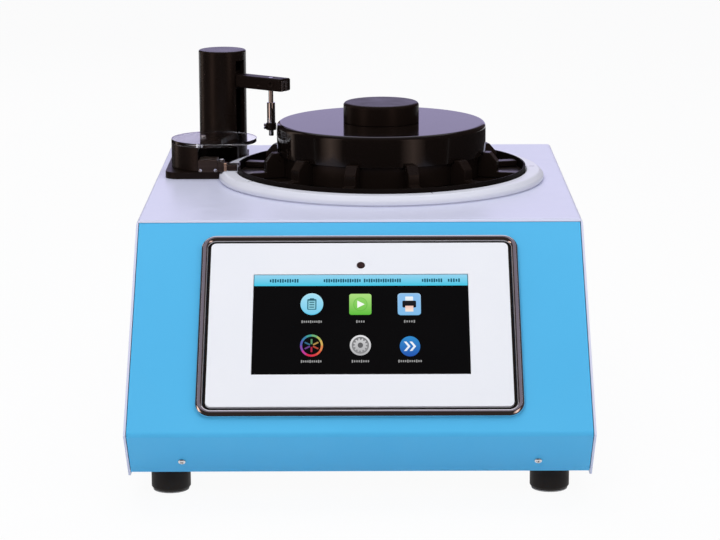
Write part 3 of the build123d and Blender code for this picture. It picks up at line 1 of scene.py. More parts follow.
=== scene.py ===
# Tablet hardness tester: the looks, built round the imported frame. X is right, Y runs to the rear, Z is up.
import json
import math

import bmesh
import bpy
from mathutils import Matrix, Vector

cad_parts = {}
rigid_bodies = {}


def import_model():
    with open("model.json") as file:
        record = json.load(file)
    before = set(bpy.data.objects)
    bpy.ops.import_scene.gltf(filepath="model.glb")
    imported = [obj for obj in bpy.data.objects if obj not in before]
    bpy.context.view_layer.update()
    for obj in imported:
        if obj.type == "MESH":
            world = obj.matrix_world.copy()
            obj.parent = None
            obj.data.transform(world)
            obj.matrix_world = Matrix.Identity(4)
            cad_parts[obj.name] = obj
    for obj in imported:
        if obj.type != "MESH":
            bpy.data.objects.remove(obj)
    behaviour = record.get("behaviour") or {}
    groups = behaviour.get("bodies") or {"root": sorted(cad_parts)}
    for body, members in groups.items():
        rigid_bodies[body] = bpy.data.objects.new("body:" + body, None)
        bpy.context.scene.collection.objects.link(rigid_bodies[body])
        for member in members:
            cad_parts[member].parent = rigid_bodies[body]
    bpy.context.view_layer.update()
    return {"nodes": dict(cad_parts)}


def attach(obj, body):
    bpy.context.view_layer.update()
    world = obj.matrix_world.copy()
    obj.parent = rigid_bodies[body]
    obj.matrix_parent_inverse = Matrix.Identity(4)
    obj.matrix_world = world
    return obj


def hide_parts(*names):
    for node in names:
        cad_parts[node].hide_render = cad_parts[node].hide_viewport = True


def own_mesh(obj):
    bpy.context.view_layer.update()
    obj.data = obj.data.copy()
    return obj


for leftOver in list(bpy.data.objects):
    bpy.data.objects.remove(leftOver)
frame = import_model()
scene = bpy.context.scene
scene.view_settings.view_transform = "Standard"
toMetres = Matrix.Scale(0.001, 4)  # sizes below are in millimetres

# Where the main pieces stand, in millimetres
layout = {
    "topHeight": 180.0,
    "carousel": (16.9, 78.0),
    "column": (-113.5, 161.5),
    "probe": (-72.56, 129.65),
    "housing": (-118.0, 106.3),
    "slopeTop": -99.7,
    "slopeRun": 138.8,
    "slopeDrop": 124.5,
    "displaySetback": 94.0,
    "screenShift": (0.9, -0.5),
    "armReach": 67.07,
}


# Shader helpers
def textureNode(tree, kind, vector, **values):
    node = tree.nodes.new(kind)
    for name, value in values.items():
        node.inputs[name].default_value = value
    tree.links.new(vector, node.inputs["Vector"])
    return node


def mapRange(tree, source, low, high, fromLow=0.3, fromHigh=0.7):
    node = tree.nodes.new("ShaderNodeMapRange")
    node.inputs["From Min"].default_value = fromLow
    node.inputs["From Max"].default_value = fromHigh
    node.inputs["To Min"].default_value = low
    node.inputs["To Max"].default_value = high
    tree.links.new(source, node.inputs["Value"])
    return node.outputs["Result"]


def placedCoordinates(tree, centre=(0, 0, 0), turn=(0, 0, 0), stretch=(1, 1, 1)):
    # object coordinates about a point of the piece, turned and stretched
    coordinates = tree.nodes.new("ShaderNodeTexCoord")
    mapping = tree.nodes.new("ShaderNodeMapping")
    mapping.vector_type = "TEXTURE"
    mapping.inputs["Location"].default_value = [value * 0.001 for value in centre]
    mapping.inputs["Rotation"].default_value = turn
    mapping.inputs["Scale"].default_value = [1 / value for value in stretch]
    tree.links.new(coordinates.outputs["Object"], mapping.inputs["Vector"])
    return mapping.outputs["Vector"]


def mathNode(tree, operation, *values):
    # each value is a number or another node's output
    node = tree.nodes.new("ShaderNodeMath")
    node.operation = operation
    for socket, value in zip(node.inputs, values):
        if isinstance(value, bpy.types.NodeSocket):
            tree.links.new(value, socket)
        else:
            socket.default_value = value
    return node.outputs[0]


def mixShaders(tree, share, first, second, output):
    mix = tree.nodes.new("ShaderNodeMixShader")
    tree.links.new(share, mix.inputs[0])
    tree.links.new(first.outputs[0], mix.inputs[1])
    tree.links.new(second.outputs[0], mix.inputs[2])
    tree.links.new(mix.outputs[0], tree.nodes[output].inputs["Surface"])


# Camera, studio and floor
cameraSettings = {
    "place": (0.00626, -1.9482, 0.5378),
    "lens": 128.56,
    "sensor": 36.0,
    "pitch": 77.92,
    "yaw": 0.189,
    "roll": -0.235,
    "clip": (0.05, 50),
}


def makeCamera(settings):
    data = bpy.data.cameras.new("photoCamera")
    data.lens = settings["lens"]
    data.sensor_width = settings["sensor"]
    data.clip_start, data.clip_end = settings["clip"]
    camera = bpy.data.objects.new("photoCamera", data)
    scene.collection.objects.link(camera)
    turn = Matrix.Rotation(math.radians(settings["yaw"]), 4, "Z")
    tilt = Matrix.Rotation(math.radians(settings["pitch"]), 4, "X")
    roll = Matrix.Rotation(math.radians(settings["roll"]), 4, "Z")
    camera.matrix_world = Matrix.Translation(settings["place"]) @ turn @ tilt @ roll
    scene.camera = camera


studioSettings = {
    "air": (0.33, 0.335, 0.37),
    "sky": (0.94, 0.92, 1.0),
    "floor": (0.90, 0.91, 0.93),
    "floorSize": 12.0,
    "floorGlow": 0.94,
    "lamps": [
        # name, place, aim, width, height, watts
        ("overheadBox", (0.0, 0.1, 1.7), (0.0, 0.0, 0.15), 1.8, 1.4, 12.4),
        ("frontBox", (-0.5, -2.0, 1.5), (0.0, -0.1, 0.1), 1.3, 0.9, 16.5),
        ("rightBox", (1.8, -0.9, 0.9), (0.0, 0.0, 0.12), 0.7, 1.0, 4),
        ("rearBox", (-0.6, 1.9, 1.1), (0.0, 0.1, 0.15), 1.2, 0.6, 5),
    ],
    "screens": [
        # studio screens that only mirrors see: name, place, aim, width, height, colour
        ("frontScreen", (0.0, -3.0, 1.25), (0.0, 0.0, 1.25), 4.4, 2.5, (0.034, 0.024, 0.020)),
        ("leftScreen", (-2.2, 0.1, 1.8), (0.0, 0.1, 1.8), 6.2, 3.6, (0.048, 0.036, 0.034)),
        ("rightScreen", (2.2, 0.1, 1.8), (0.0, 0.1, 1.8), 6.2, 3.6, (0.060, 0.044, 0.042)),
        ("rearLeftScreen", (-1.65, 3.18, 1.8), (-1.65, 0.0, 1.8), 1.3, 3.6, (0.075, 0.060, 0.060)),
        ("rearRightScreen", (1.65, 3.18, 1.8), (1.65, 0.0, 1.8), 1.3, 3.6, (0.12, 0.09, 0.10)),
        ("rearScreen", (0.0, 3.2, 1.1), (0.0, 0.0, 1.1), 2.2, 2.2, (0.70, 0.63, 1.00)),
        ("ceilingScreen", (0.0, -0.07, 2.4), (0.0, -0.07, 0.0), 2.8, 1.85, (0.22, 0.19, 0.23)),
        ("frontCeilingScreen", (0.0, -2.0, 2.45), (0.0, -2.0, 0.0), 4.4, 2.1, (0.034, 0.024, 0.020)),
        ("tableScreen", (0.0, -1.62, 0.002), (0.0, -1.62, 1.0), 4.4, 2.72, (0.034, 0.026, 0.024)),
        ("leftTableScreen", (-1.25, 0.6, 0.002), (-1.25, 0.6, 1.0), 1.9, 1.7, (0.040, 0.034, 0.036)),
        ("rightTableScreen", (1.25, 0.6, 0.002), (1.25, 0.6, 1.0), 1.9, 1.7, (0.040, 0.034, 0.036)),
    ],
    "streaks": [
        # tall soft lights that only mirrors see: name, place, aim, width, height, colour at the middle
        ("leftStreak", (-0.956, -0.588, 0.5), (-0.05, 0.12, 0.5), 0.60, 1.0, (1.9, 1.35, 1.1)),
        ("rightStreak", (0.61, -0.822, 0.5), (-0.05, 0.12, 0.5), 0.56, 1.0, (1.4, 0.98, 0.82)),
        ("sideStreak", (-0.92, 0.515, 0.5), (-0.118, 0.106, 0.5), 0.36, 1.0, (1.2, 0.92, 0.78)),
    ],
}


def seenDirectly(tree):
    # 1 where the camera, a mirror or a glass looks at the surroundings, 0 where they light something
    path = tree.nodes.new("ShaderNodeLightPath")
    bounced = mathNode(tree, "MAXIMUM", path.outputs["Is Glossy Ray"], path.outputs["Is Transmission Ray"])
    return mathNode(tree, "MAXIMUM", path.outputs["Is Camera Ray"], bounced)


def aimFrom(thing, place, aim, axis):
    thing.location = place
    thing.rotation_euler = (Vector(aim) - Vector(place)).to_track_quat(axis, "Y").to_euler()


def stagedSheet(name, width, height):
    # a flat sheet of the studio with a material of its own
    x, y = width / 2, height / 2
    mesh = bpy.data.meshes.new(name)
    mesh.from_pydata([(-x, -y, 0), (x, -y, 0), (x, y, 0), (-x, y, 0)], [], [(0, 1, 2, 3)])
    sheet = bpy.data.objects.new(name, mesh)
    scene.collection.objects.link(sheet)
    material = bpy.data.materials.new(name)
    material.use_nodes = True
    mesh.materials.append(material)
    return sheet, material.node_tree


def makeCard(card, fades):
    # a glowing card that only mirrors see; one that fades does so towards both its sides
    name, place, aim, width, height, colour = card
    screen, tree = stagedSheet(name, width, height)
    aimFrom(screen, place, aim, "Z")
    cloth = tree.nodes["Principled BSDF"]
    cloth.inputs["Base Color"].default_value = (0, 0, 0, 1)
    cloth.inputs["Specular IOR Level"].default_value = 0.0
    cloth.inputs["Emission Color"].default_value = (*colour, 1)
    cloth.inputs["Emission Strength"].default_value = 1.0
    if fades:
        fade = tree.nodes.new("ShaderNodeTexGradient")
        fade.gradient_type = "SPHERICAL"
        vector = placedCoordinates(tree, stretch=(2 / width, 0.01, 0.01))
        tree.links.new(vector, fade.inputs["Vector"])
        tree.links.new(fade.outputs["Fac"], cloth.inputs["Emission Strength"])
    screen.visible_camera = False
    screen.visible_diffuse = False
    screen.visible_transmission = False
    screen.visible_shadow = False


def makeStudio(settings):
    world = bpy.data.worlds.new("studioAir")
    world.use_nodes = True
    scene.world = world
    tree = world.node_tree
    soft = tree.nodes["Background"]
    soft.inputs["Color"].default_value = (*settings["air"], 1)
    white = tree.nodes.new("ShaderNodeBackground")
    white.inputs["Color"].default_value = (*settings["sky"], 1)
    mixShaders(tree, seenDirectly(tree), soft, white, "World Output")

    for name, place, aim, width, height, watts in settings["lamps"]:
        data = bpy.data.lights.new(name, "AREA")
        data.shape = "RECTANGLE"
        data.size = width
        data.size_y = height
        data.energy = watts
        lamp = bpy.data.objects.new(name, data)
        scene.collection.objects.link(lamp)
        aimFrom(lamp, place, aim, "-Z")
        lamp.visible_camera = False
        lamp.visible_glossy = False
    for card in settings["screens"]:
        makeCard(card, False)
    for card in settings["streaks"]:
        makeCard(card, True)


def makeFloor(settings):
    tree = stagedSheet("studioFloor", settings["floorSize"], settings["floorSize"])[1]
    paper = tree.nodes["Principled BSDF"]
    paper.inputs["Base Color"].default_value = (*settings["floor"], 1)
    paper.inputs["Roughness"].default_value = 0.9
    glow = tree.nodes.new("ShaderNodeEmission")
    glow.inputs["Color"].default_value = (1, 1, 1, 1)
    share = mathNode(tree, "MULTIPLY", seenDirectly(tree), settings["floorGlow"])
    mixShaders(tree, share, paper, glow, "Material Output")


makeCamera(cameraSettings)
makeStudio(studioSettings)
makeFloor(studioSettings)
print("camera, studio and floor are set")


# Finishes
def makeFinish(name, settings):
    # one surface: its own colour with a slow drift, a roughness that wanders, a fine grain in its relief
    material = bpy.data.materials.new(name)
    material.use_nodes = True
    tree = material.node_tree
    shader = tree.nodes["Principled BSDF"]
    for socket, value in settings.get("fixed", {}).items():
        shader.inputs[socket].default_value = value
    vector = placedCoordinates(tree, stretch=settings.get("stretch", (1, 1, 1)))

    drift = textureNode(tree, "ShaderNodeTexNoise", vector, Scale=settings.get("driftScale", 18), Detail=3)
    blend = tree.nodes.new("ShaderNodeMix")
    blend.data_type = "RGBA"
    blend.inputs["A"].default_value = (*settings["colour"], 1)
    blend.inputs["B"].default_value = (*settings["shade"], 1)
    tree.links.new(mapRange(tree, drift.outputs["Fac"], 0, 1), blend.inputs["Factor"])
    tree.links.new(blend.outputs["Result"], shader.inputs["Base Color"])

    low, high = settings["roughness"]
    smudge = textureNode(
        tree, "ShaderNodeTexNoise", vector, Scale=settings.get("smudgeScale", 60), Detail=4, Distortion=0.6
    )
    tree.links.new(mapRange(tree, smudge.outputs["Fac"], low, high), shader.inputs["Roughness"])

    grainScale, micrometres, strength = settings["grain"]
    grain = textureNode(tree, "ShaderNodeTexNoise", vector, Scale=grainScale, Detail=2)
    height = grain.outputs["Fac"]
    if "turned" in settings:  # lathe rings about the piece's own axis
        centre, turn, pitch = settings["turned"]
        around = placedCoordinates(tree, centre, turn)
        rings = textureNode(tree, "ShaderNodeTexWave", around, Scale=pitch, Distortion=0.4, Detail=1)
        rings.wave_type = "RINGS"
        rings.rings_direction = "Z"
        height = mathNode(tree, "ADD", height, rings.outputs["Fac"])
    bump = tree.nodes.new("ShaderNodeBump")
    bump.inputs["Strength"].default_value = strength
    bump.inputs["Distance"].default_value = micrometres * 1e-6
    tree.links.new(height, bump.inputs["Height"])
    tree.links.new(bump.outputs["Normal"], shader.inputs["Normal"])
    return material


carouselAxis = ((layout["carousel"][0], layout["carousel"][1], 0), (0, 0, 0))
finishSettings = {
    # grain: how many to the metre, how high in micrometres, how strong in the relief
    "whitePowderCoat": {
        "colour": (0.72, 0.735, 0.90), "shade": (0.70, 0.715, 0.885), "roughness": (0.30, 0.38),
        "grain": (1400, 20, 0.2), "driftScale": 9,
    },
    "blueEnamel": {
        "colour": (0.094, 0.53, 0.89), "shade": (0.087, 0.51, 0.87), "roughness": (0.38, 0.46),
        "grain": (1500, 30, 0.3), "driftScale": 7, "fixed": {"Specular IOR Level": 0.25},
    },
    "collarWhite": {
        "colour": (0.83, 0.84, 0.91), "shade": (0.80, 0.81, 0.89), "roughness": (0.3, 0.4),
        "grain": (900, 20, 0.3),
    },
    "membraneWhite": {
        "colour": (0.93, 0.94, 0.97), "shade": (0.91, 0.925, 0.96), "roughness": (0.28, 0.36),
        "grain": (2600, 10, 0.3),
    },
    "brightChrome": {
        "colour": (0.78, 0.77, 0.79), "shade": (0.74, 0.73, 0.76), "roughness": (0.05, 0.10),
        "grain": (300, 4, 0.3), "fixed": {"Metallic": 1.0},
    },
    "polishedBlack": {
        "colour": (0.006, 0.0038, 0.003), "shade": (0.008, 0.0052, 0.0042), "roughness": (0.07, 0.12),
        "grain": (700, 2, 0.1), "fixed": {"Specular IOR Level": 0.28},
    },
    "knobBlack": {
        "colour": (0.008, 0.0048, 0.0036), "shade": (0.011, 0.0066, 0.005), "roughness": (0.30, 0.38),
        "grain": (1200, 6, 0.12), "turned": (*carouselAxis, 900),
        "fixed": {"Specular IOR Level": 0.13, "Specular Tint": (1.0, 0.86, 0.82, 1)},
    },
    "blackAcetal": {
        "colour": (0.009, 0.0056, 0.0044), "shade": (0.013, 0.0082, 0.0064), "roughness": (0.26, 0.38),
        "grain": (900, 10, 0.15), "turned": (*carouselAxis, 420),
        "fixed": {"Specular IOR Level": 0.24, "Specular Tint": (1.0, 0.88, 0.84, 1)},
    },
    "blackAnodised": {
        "colour": (0.0085, 0.0052, 0.004), "shade": (0.012, 0.0074, 0.0057), "roughness": (0.24, 0.32),
        "grain": (2200, 10, 0.3),
        "fixed": {"Specular IOR Level": 0.18, "Specular Tint": (1.0, 0.86, 0.82, 1)},
    },
    "satinAnodised": {
        "colour": (0.0085, 0.0052, 0.004), "shade": (0.012, 0.0074, 0.0057), "roughness": (0.36, 0.44),
        "grain": (2000, 10, 0.3),
        "fixed": {"Specular IOR Level": 0.12, "Specular Tint": (1.0, 0.84, 0.80, 1)},
    },
    "linerBlack": {
        "colour": (0.0055, 0.0036, 0.0030), "shade": (0.008, 0.0052, 0.0042), "roughness": (0.5, 0.62),
        "grain": (1500, 10, 0.3), "fixed": {"Specular IOR Level": 0.06},
    },
    "darkGroundSteel": {
        "colour": (0.055, 0.038, 0.030), "shade": (0.09, 0.062, 0.048), "roughness": (0.3, 0.46),
        "grain": (500, 10, 0.3), "stretch": (1, 1, 12), "fixed": {"Metallic": 0.9},
    },
    "groundSteel": {
        "colour": (0.56, 0.56, 0.58), "shade": (0.48, 0.48, 0.50), "roughness": (0.2, 0.34),
        "grain": (800, 8, 0.3), "stretch": (1, 1, 10), "fixed": {"Metallic": 1.0},
    },
    "brightSteel": {
        "colour": (0.70, 0.70, 0.72), "shade": (0.62, 0.62, 0.64), "roughness": (0.14, 0.26),
        "grain": (1500, 6, 0.3), "fixed": {"Metallic": 1.0},
    },
    "turnedBrass": {
        "colour": (0.62, 0.40, 0.27), "shade": (0.52, 0.33, 0.22), "roughness": (0.18, 0.32),
        "grain": (900, 10, 0.3), "stretch": (8, 1, 1), "fixed": {"Metallic": 1.0},
    },
    "mouldedRubber": {
        "colour": (0.009, 0.0062, 0.0053), "shade": (0.013, 0.0096, 0.0082), "roughness": (0.46, 0.6),
        "grain": (1600, 50, 0.5), "fixed": {"Specular IOR Level": 0.2},
    },
    "greyFelt": {
        "colour": (0.42, 0.40, 0.39), "shade": (0.33, 0.31, 0.30), "roughness": (0.85, 0.95),
        "grain": (2400, 120, 0.7),
    },
    "zincSheet": {
        "colour": (0.50, 0.51, 0.52), "shade": (0.40, 0.41, 0.43), "roughness": (0.3, 0.46),
        "grain": (240, 10, 0.3), "driftScale": 90, "fixed": {"Metallic": 0.95},
    },
    "machinedAluminium": {
        "colour": (0.66, 0.66, 0.68), "shade": (0.58, 0.58, 0.60), "roughness": (0.26, 0.4),
        "grain": (900, 12, 0.3), "stretch": (6, 1, 1), "fixed": {"Metallic": 1.0},
    },
    "motorPaint": {
        "colour": (0.020, 0.020, 0.021), "shade": (0.034, 0.034, 0.036), "roughness": (0.4, 0.55),
        "grain": (1300, 30, 0.3),
    },
    "solderResist": {
        "colour": (0.015, 0.13, 0.05), "shade": (0.022, 0.17, 0.07), "roughness": (0.2, 0.34),
        "grain": (500, 30, 0.3), "driftScale": 160,
    },
    "socketBlack": {
        "colour": (0.018, 0.018, 0.019), "shade": (0.028, 0.028, 0.030), "roughness": (0.34, 0.5),
        "grain": (2000, 30, 0.3),
    },
    "markingGrey": {
        "colour": (0.10, 0.10, 0.13), "shade": (0.13, 0.13, 0.16), "roughness": (0.5, 0.6),
        "grain": (2000, 10, 0.3),
    },
    "smokedLens": {
        "colour": (0.022, 0.008, 0.006), "shade": (0.035, 0.012, 0.008), "roughness": (0.05, 0.12),
        "grain": (900, 2, 0.3), "fixed": {"Coat Weight": 0.6},
    },
    "screenGlass": {
        "colour": (0.0022, 0.0022, 0.0022), "shade": (0.0028, 0.0028, 0.0027), "roughness": (0.05, 0.12),
        "grain": (400, 1, 0.3), "smudgeScale": 35, "fixed": {"Specular IOR Level": 0.1},
    },
    "clearAcrylic": {
        "colour": (0.93, 0.94, 0.97), "shade": (0.90, 0.91, 0.95), "roughness": (0.02, 0.05),
        "grain": (300, 2, 0.3), "fixed": {"Transmission Weight": 1.0, "IOR": 1.33},
    },
}
finishes = {name: makeFinish(name, settings) for name, settings in finishSettings.items()}
print(len(finishes), "finishes are mixed")


# Shop tools
def addPiece(name, mesh):
    piece = bpy.data.objects.new(name, mesh)
    scene.collection.objects.link(piece)
    return piece


def flattenModifiers(piece):
    graph = bpy.context.evaluated_depsgraph_get()
    mesh = bpy.data.meshes.new_from_object(piece.evaluated_get(graph), depsgraph=graph)
    piece.modifiers.clear()
    piece.data = mesh
    return piece


def smoothShading(piece, angle):
    # rounded edges shade softly and broad faces stay flat
    piece.data.shade_smooth()
    piece.data.set_sharp_from_angle(angle=math.radians(angle))
    weighted = piece.modifiers.new("faceWeights", "WEIGHTED_NORMAL")
    weighted.mode = "FACE_AREA"
    weighted.weight = 80
    weighted.keep_sharp = True
    return flattenModifiers(piece)


def roundEdges(piece, width, segments=2, angle=32):
    bevel = piece.modifiers.new("roundedEdges", "BEVEL")
    bevel.width = width * 0.001
    bevel.segments = segments
    bevel.limit_method = "ANGLE"
    bevel.angle_limit = math.radians(angle)
    bevel.use_clamp_overlap = True
    flattenModifiers(piece)
    return smoothShading(piece, 50)


def settle(piece, body, slotName, finish, *nodes):
    # the piece gets its finish, rides on its body and stands for its nodes
    if finish is not None:
        piece.data.materials.clear()
        piece.data.materials.append(finishes[finish])
    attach(piece, body)
    if nodes:
        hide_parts(*nodes)


def meshFrom(name, points, faces, place=toMetres):
    mesh = bpy.data.meshes.new(name)
    mesh.from_pydata(points, [], faces)
    mesh.transform(place)
    shape = bmesh.new()
    shape.from_mesh(mesh)
    bmesh.ops.remove_doubles(shape, verts=shape.verts, dist=1e-7)
    bmesh.ops.recalc_face_normals(shape, faces=shape.faces)
    shape.to_mesh(mesh)
    shape.free()
    return mesh


def cadCopy(node, name):
    # the node's triangles, merged into whole faces
    mesh = frame["nodes"][node].data.copy()
    if "custom_normal" in mesh.attributes:
        mesh.attributes.remove(mesh.attributes["custom_normal"])
    mesh.materials.clear()
    shape = bmesh.new()
    shape.from_mesh(mesh)
    bmesh.ops.remove_doubles(shape, verts=shape.verts, dist=2e-6)
    bmesh.ops.dissolve_limit(shape, angle_limit=math.radians(0.4), verts=shape.verts, edges=shape.edges)
    shape.to_mesh(mesh)
    shape.free()
    return addPiece(name, mesh)


def dressCopies(table):
    # each node's own shape with its edges rounded
    for node, (name, body, finish, slotName, width, steps) in table.items():
        settle(roundEdges(cadCopy(node, name), width, steps), body, slotName, finish, node)


def filleted(corners, steps=6):
    # corners are (x, y, radius); the outline comes back with each corner rounded
    outline = []
    for index, (x, y, radius) in enumerate(corners):
        corner = Vector((x, y))
        if radius <= 0:
            outline.append((x, y))
            continue
        before = Vector(corners[index - 1][:2]) - corner
        after = Vector(corners[(index + 1) % len(corners)][:2]) - corner
        before.normalize()
        after.normalize()
        half = before.angle(after) / 2
        middle = corner + (before + after).normalized() * radius / math.sin(half)
        start = corner + before * radius / math.tan(half) - middle
        end = corner + after * radius / math.tan(half) - middle
        startAngle = math.atan2(start.y, start.x)
        sweep = math.atan2(end.y, end.x) - startAngle
        sweep = (sweep + math.pi) % (2 * math.pi) - math.pi
        for step in range(steps + 1):
            angle = startAngle + sweep * step / steps
            outline.append((middle.x + radius * math.cos(angle), middle.y + radius * math.sin(angle)))
    return outline


def turnedPiece(name, profile, centre, steps):
    # a closed outline of (radius, height) turned about an upright axis
    points = []
    for step in range(steps):
        angle = 2 * math.pi * step / steps
        x, y = math.cos(angle), math.sin(angle)
        points += [(centre[0] + radius * x, centre[1] + radius * y, height) for radius, height in profile]
    count = len(profile)
    faces = []
    for step in range(steps):
        here = step * count
        there = (step + 1) % steps * count
        for index in range(count):
            following = (index + 1) % count
            if profile[index][0] < 1e-6 and profile[following][0] < 1e-6:
                continue
            faces.append((here + index, there + index, there + following, here + following))
    return smoothShading(addPiece(name, meshFrom(name, points, faces)), 35)


def extruded(name, outline, low, high, place=toMetres):
    # a flat outline given thickness
    count = len(outline)
    points = [(x, y, low) for x, y in outline] + [(x, y, high) for x, y in outline]
    faces = [tuple(range(count))[::-1], tuple(range(count, 2 * count))]
    for index in range(count):
        following = (index + 1) % count
        faces.append((index, following, count + following, count + index))
    return addPiece(name, meshFrom(name, points, faces, place))


def rectangle(width, height, radius, x=0.0, y=0.0, steps=5):
    right, up = width / 2, height / 2
    corners = [(x + right, y + up), (x - right, y + up), (x - right, y - up), (x + right, y - up)]
    return filleted([(*corner, radius) for corner in corners], steps)


def circle(radius, x=0.0, y=0.0, steps=48):
    turns = [2 * math.pi * step / steps for step in range(steps)]
    return [(x + radius * math.cos(turn), y + radius * math.sin(turn)) for turn in turns]


def joined(name, parts):
    # several meshes become one piece
    mesh = bpy.data.meshes.new(name)
    shape = bmesh.new()
    for part in parts:
        shape.from_mesh(part.data)
        bpy.data.objects.remove(part)
    shape.to_mesh(mesh)
    shape.free()
    return addPiece(name, mesh)


# Geometry node trees
def newTree(name, inputs):
    tree = bpy.data.node_groups.new(name, "GeometryNodeTree")
    for label, kind, value in inputs:
        socket = tree.interface.new_socket(label, in_out="INPUT", socket_type="NodeSocket" + kind)
        if value is not None:
            socket.default_value = value
    tree.interface.new_socket("Geometry", in_out="OUTPUT", socket_type="NodeSocketGeometry")
    return tree, tree.nodes.new("NodeGroupInput"), tree.nodes.new("NodeGroupOutput")


def wireUp(tree, *wires):
    for start, outlet, end, inlet in wires:
        tree.links.new(start.outputs[outlet], end.inputs[inlet])


def closeTree(tree, source, result, last, outlet):
    # every tree ends in real geometry with its finish
    realize = tree.nodes.new("GeometryNodeRealizeInstances")
    paint = tree.nodes.new("GeometryNodeSetMaterial")
    wireUp(
        tree,
        (last, outlet, realize, "Geometry"),
        (realize, "Geometry", paint, "Geometry"),
        (source, "Finish", paint, "Material"),
        (paint, "Geometry", result, "Geometry"),
    )


def growTree(name, tree, values, start=None):
    # the tree's result becomes the plain mesh of a new piece
    piece = addPiece(name, start or bpy.data.meshes.new(name))
    modifier = piece.modifiers.new("growth", "NODES")
    modifier.node_group = tree
    for item in tree.interface.items_tree:
        if item.item_type == "SOCKET" and item.in_out == "INPUT" and item.name in values:
            modifier[item.identifier] = values[item.name]
    return flattenModifiers(piece)


def scatterTree():
    # copies of one pattern on the points of a mesh, each looking along the point's aim
    tree, source, result = newTree("copiesOnPoints", [
        ("Geometry", "Geometry", None),
        ("Pattern", "Object", None),
        ("Largest roll", "Float", 0.0),
        ("Seed", "Int", 4),
        ("Finish", "Material", None),
    ])
    pattern = tree.nodes.new("GeometryNodeObjectInfo")
    aim = tree.nodes.new("GeometryNodeInputNamedAttribute")
    aim.data_type = "FLOAT_VECTOR"
    aim.inputs["Name"].default_value = "aim"
    align = tree.nodes.new("FunctionNodeAlignRotationToVector")
    align.axis = "Z"
    chance = tree.nodes.new("FunctionNodeRandomValue")
    chance.data_type = "FLOAT"
    spin = tree.nodes.new("ShaderNodeCombineXYZ")
    roll = tree.nodes.new("FunctionNodeRotateRotation")
    roll.rotation_space = "LOCAL"
    copies = tree.nodes.new("GeometryNodeInstanceOnPoints")
    wireUp(
        tree,
        (source, "Pattern", pattern, "Object"),
        (aim, "Attribute", align, "Vector"),
        (source, "Largest roll", chance, 3),
        (source, "Seed", chance, "Seed"),
        (chance, 1, spin, "Z"),
        (align, "Rotation", roll, "Rotation"),
        (spin, "Vector", roll, "Rotate By"),
        (source, "Geometry", copies, "Points"),
        (pattern, "Geometry", copies, "Instance"),
        (roll, "Rotation", copies, "Rotation"),
    )
    closeTree(tree, source, result, copies, "Instances")
    return tree


def ringTree():
    # copies of one pattern round an upright axis
    tree, source, result = newTree("ringOfCopies", [
        ("Pattern", "Object", None),
        ("Count", "Int", 12),
        ("Centre", "Vector", None),
        ("First angle", "Float", 0.0),
        ("Finish", "Material", None),
    ])
    pattern = tree.nodes.new("GeometryNodeObjectInfo")
    points = tree.nodes.new("GeometryNodePoints")
    index = tree.nodes.new("GeometryNodeInputIndex")
    share = mathNode(tree, "DIVIDE", 2 * math.pi, source.outputs["Count"])
    turn = mathNode(tree, "MULTIPLY_ADD", index.outputs["Index"], share, source.outputs["First angle"])
    spin = tree.nodes.new("ShaderNodeCombineXYZ")
    tree.links.new(turn, spin.inputs["Z"])
    copies = tree.nodes.new("GeometryNodeInstanceOnPoints")
    wireUp(
        tree,
        (source, "Pattern", pattern, "Object"),
        (source, "Count", points, "Count"),
        (source, "Centre", points, "Position"),
        (points, "Points", copies, "Points"),
        (pattern, "Geometry", copies, "Instance"),
        (spin, "Vector", copies, "Rotation"),
    )
    closeTree(tree, source, result, copies, "Instances")
    return tree


def helixTree():
    # a section swept along a helix, such as a thread or a spring
    tree, source, result = newTree("helixSweep", [
        ("Section", "Object", None),
        ("Radius", "Float", 0.003),
        ("Length", "Float", 0.02),
        ("Turns", "Float", 5.0),
        ("Points per turn", "Int", 24),
        ("Finish", "Material", None),
    ])
    section = tree.nodes.new("GeometryNodeObjectInfo")
    helix = tree.nodes.new("GeometryNodeCurveSpiral")
    sweep = tree.nodes.new("GeometryNodeCurveToMesh")
    upright = tree.nodes.new("GeometryNodeSetCurveNormal")
    upright.mode = "Z_UP"
    sweep.inputs["Fill Caps"].default_value = True
    wireUp(
        tree,
        (source, "Section", section, "Object"),
        (source, "Points per turn", helix, "Resolution"),
        (source, "Turns", helix, "Rotations"),
        (source, "Radius", helix, "Start Radius"),
        (source, "Radius", helix, "End Radius"),
        (source, "Length", helix, "Height"),
        (helix, "Curve", upright, "Curve"),
        (upright, "Curve", sweep, "Curve"),
        (section, "Geometry", sweep, "Profile Curve"),
    )
    closeTree(tree, source, result, sweep, "Mesh")
    return tree


copiesOnPoints = scatterTree()
ringOfCopies = ringTree()
helixSweep = helixTree()


def pointsWithAim(name, places):
    # places are (point in millimetres, direction)
    mesh = bpy.data.meshes.new(name)
    mesh.from_pydata([Vector(point) * 0.001 for point, aim in places], [], [])
    attribute = mesh.attributes.new("aim", "FLOAT_VECTOR", "POINT")
    for index, (point, aim) in enumerate(places):
        attribute.data[index].vector = aim
    return mesh


def asPattern(piece):
    # kept only while the trees copy it
    piece.hide_render = True
    return piece


def scattered(name, pattern, places, finish, largestRoll=0.0, seed=4):
    values = {
        "Pattern": pattern,
        "Largest roll": largestRoll,
        "Seed": seed,
        "Finish": finishes[finish],
    }
    return growTree(name, copiesOnPoints, values, pointsWithAim(name, places))


# Screws and nuts
def cutBy(piece, cutter):
    modifier = piece.modifiers.new("cut", "BOOLEAN")
    modifier.operation = "DIFFERENCE"
    modifier.solver = "EXACT"
    modifier.object = cutter
    flattenModifiers(piece)
    bpy.data.objects.remove(cutter)


def crossOutline(reach, arm):
    corners = [(reach, arm), (arm, arm), (arm, reach)]
    outline = []
    for quarter in range(4):
        turn = Matrix.Rotation(quarter * math.pi / 2, 2)
        outline += [tuple(turn @ Vector(corner)) for corner in corners]
    return outline


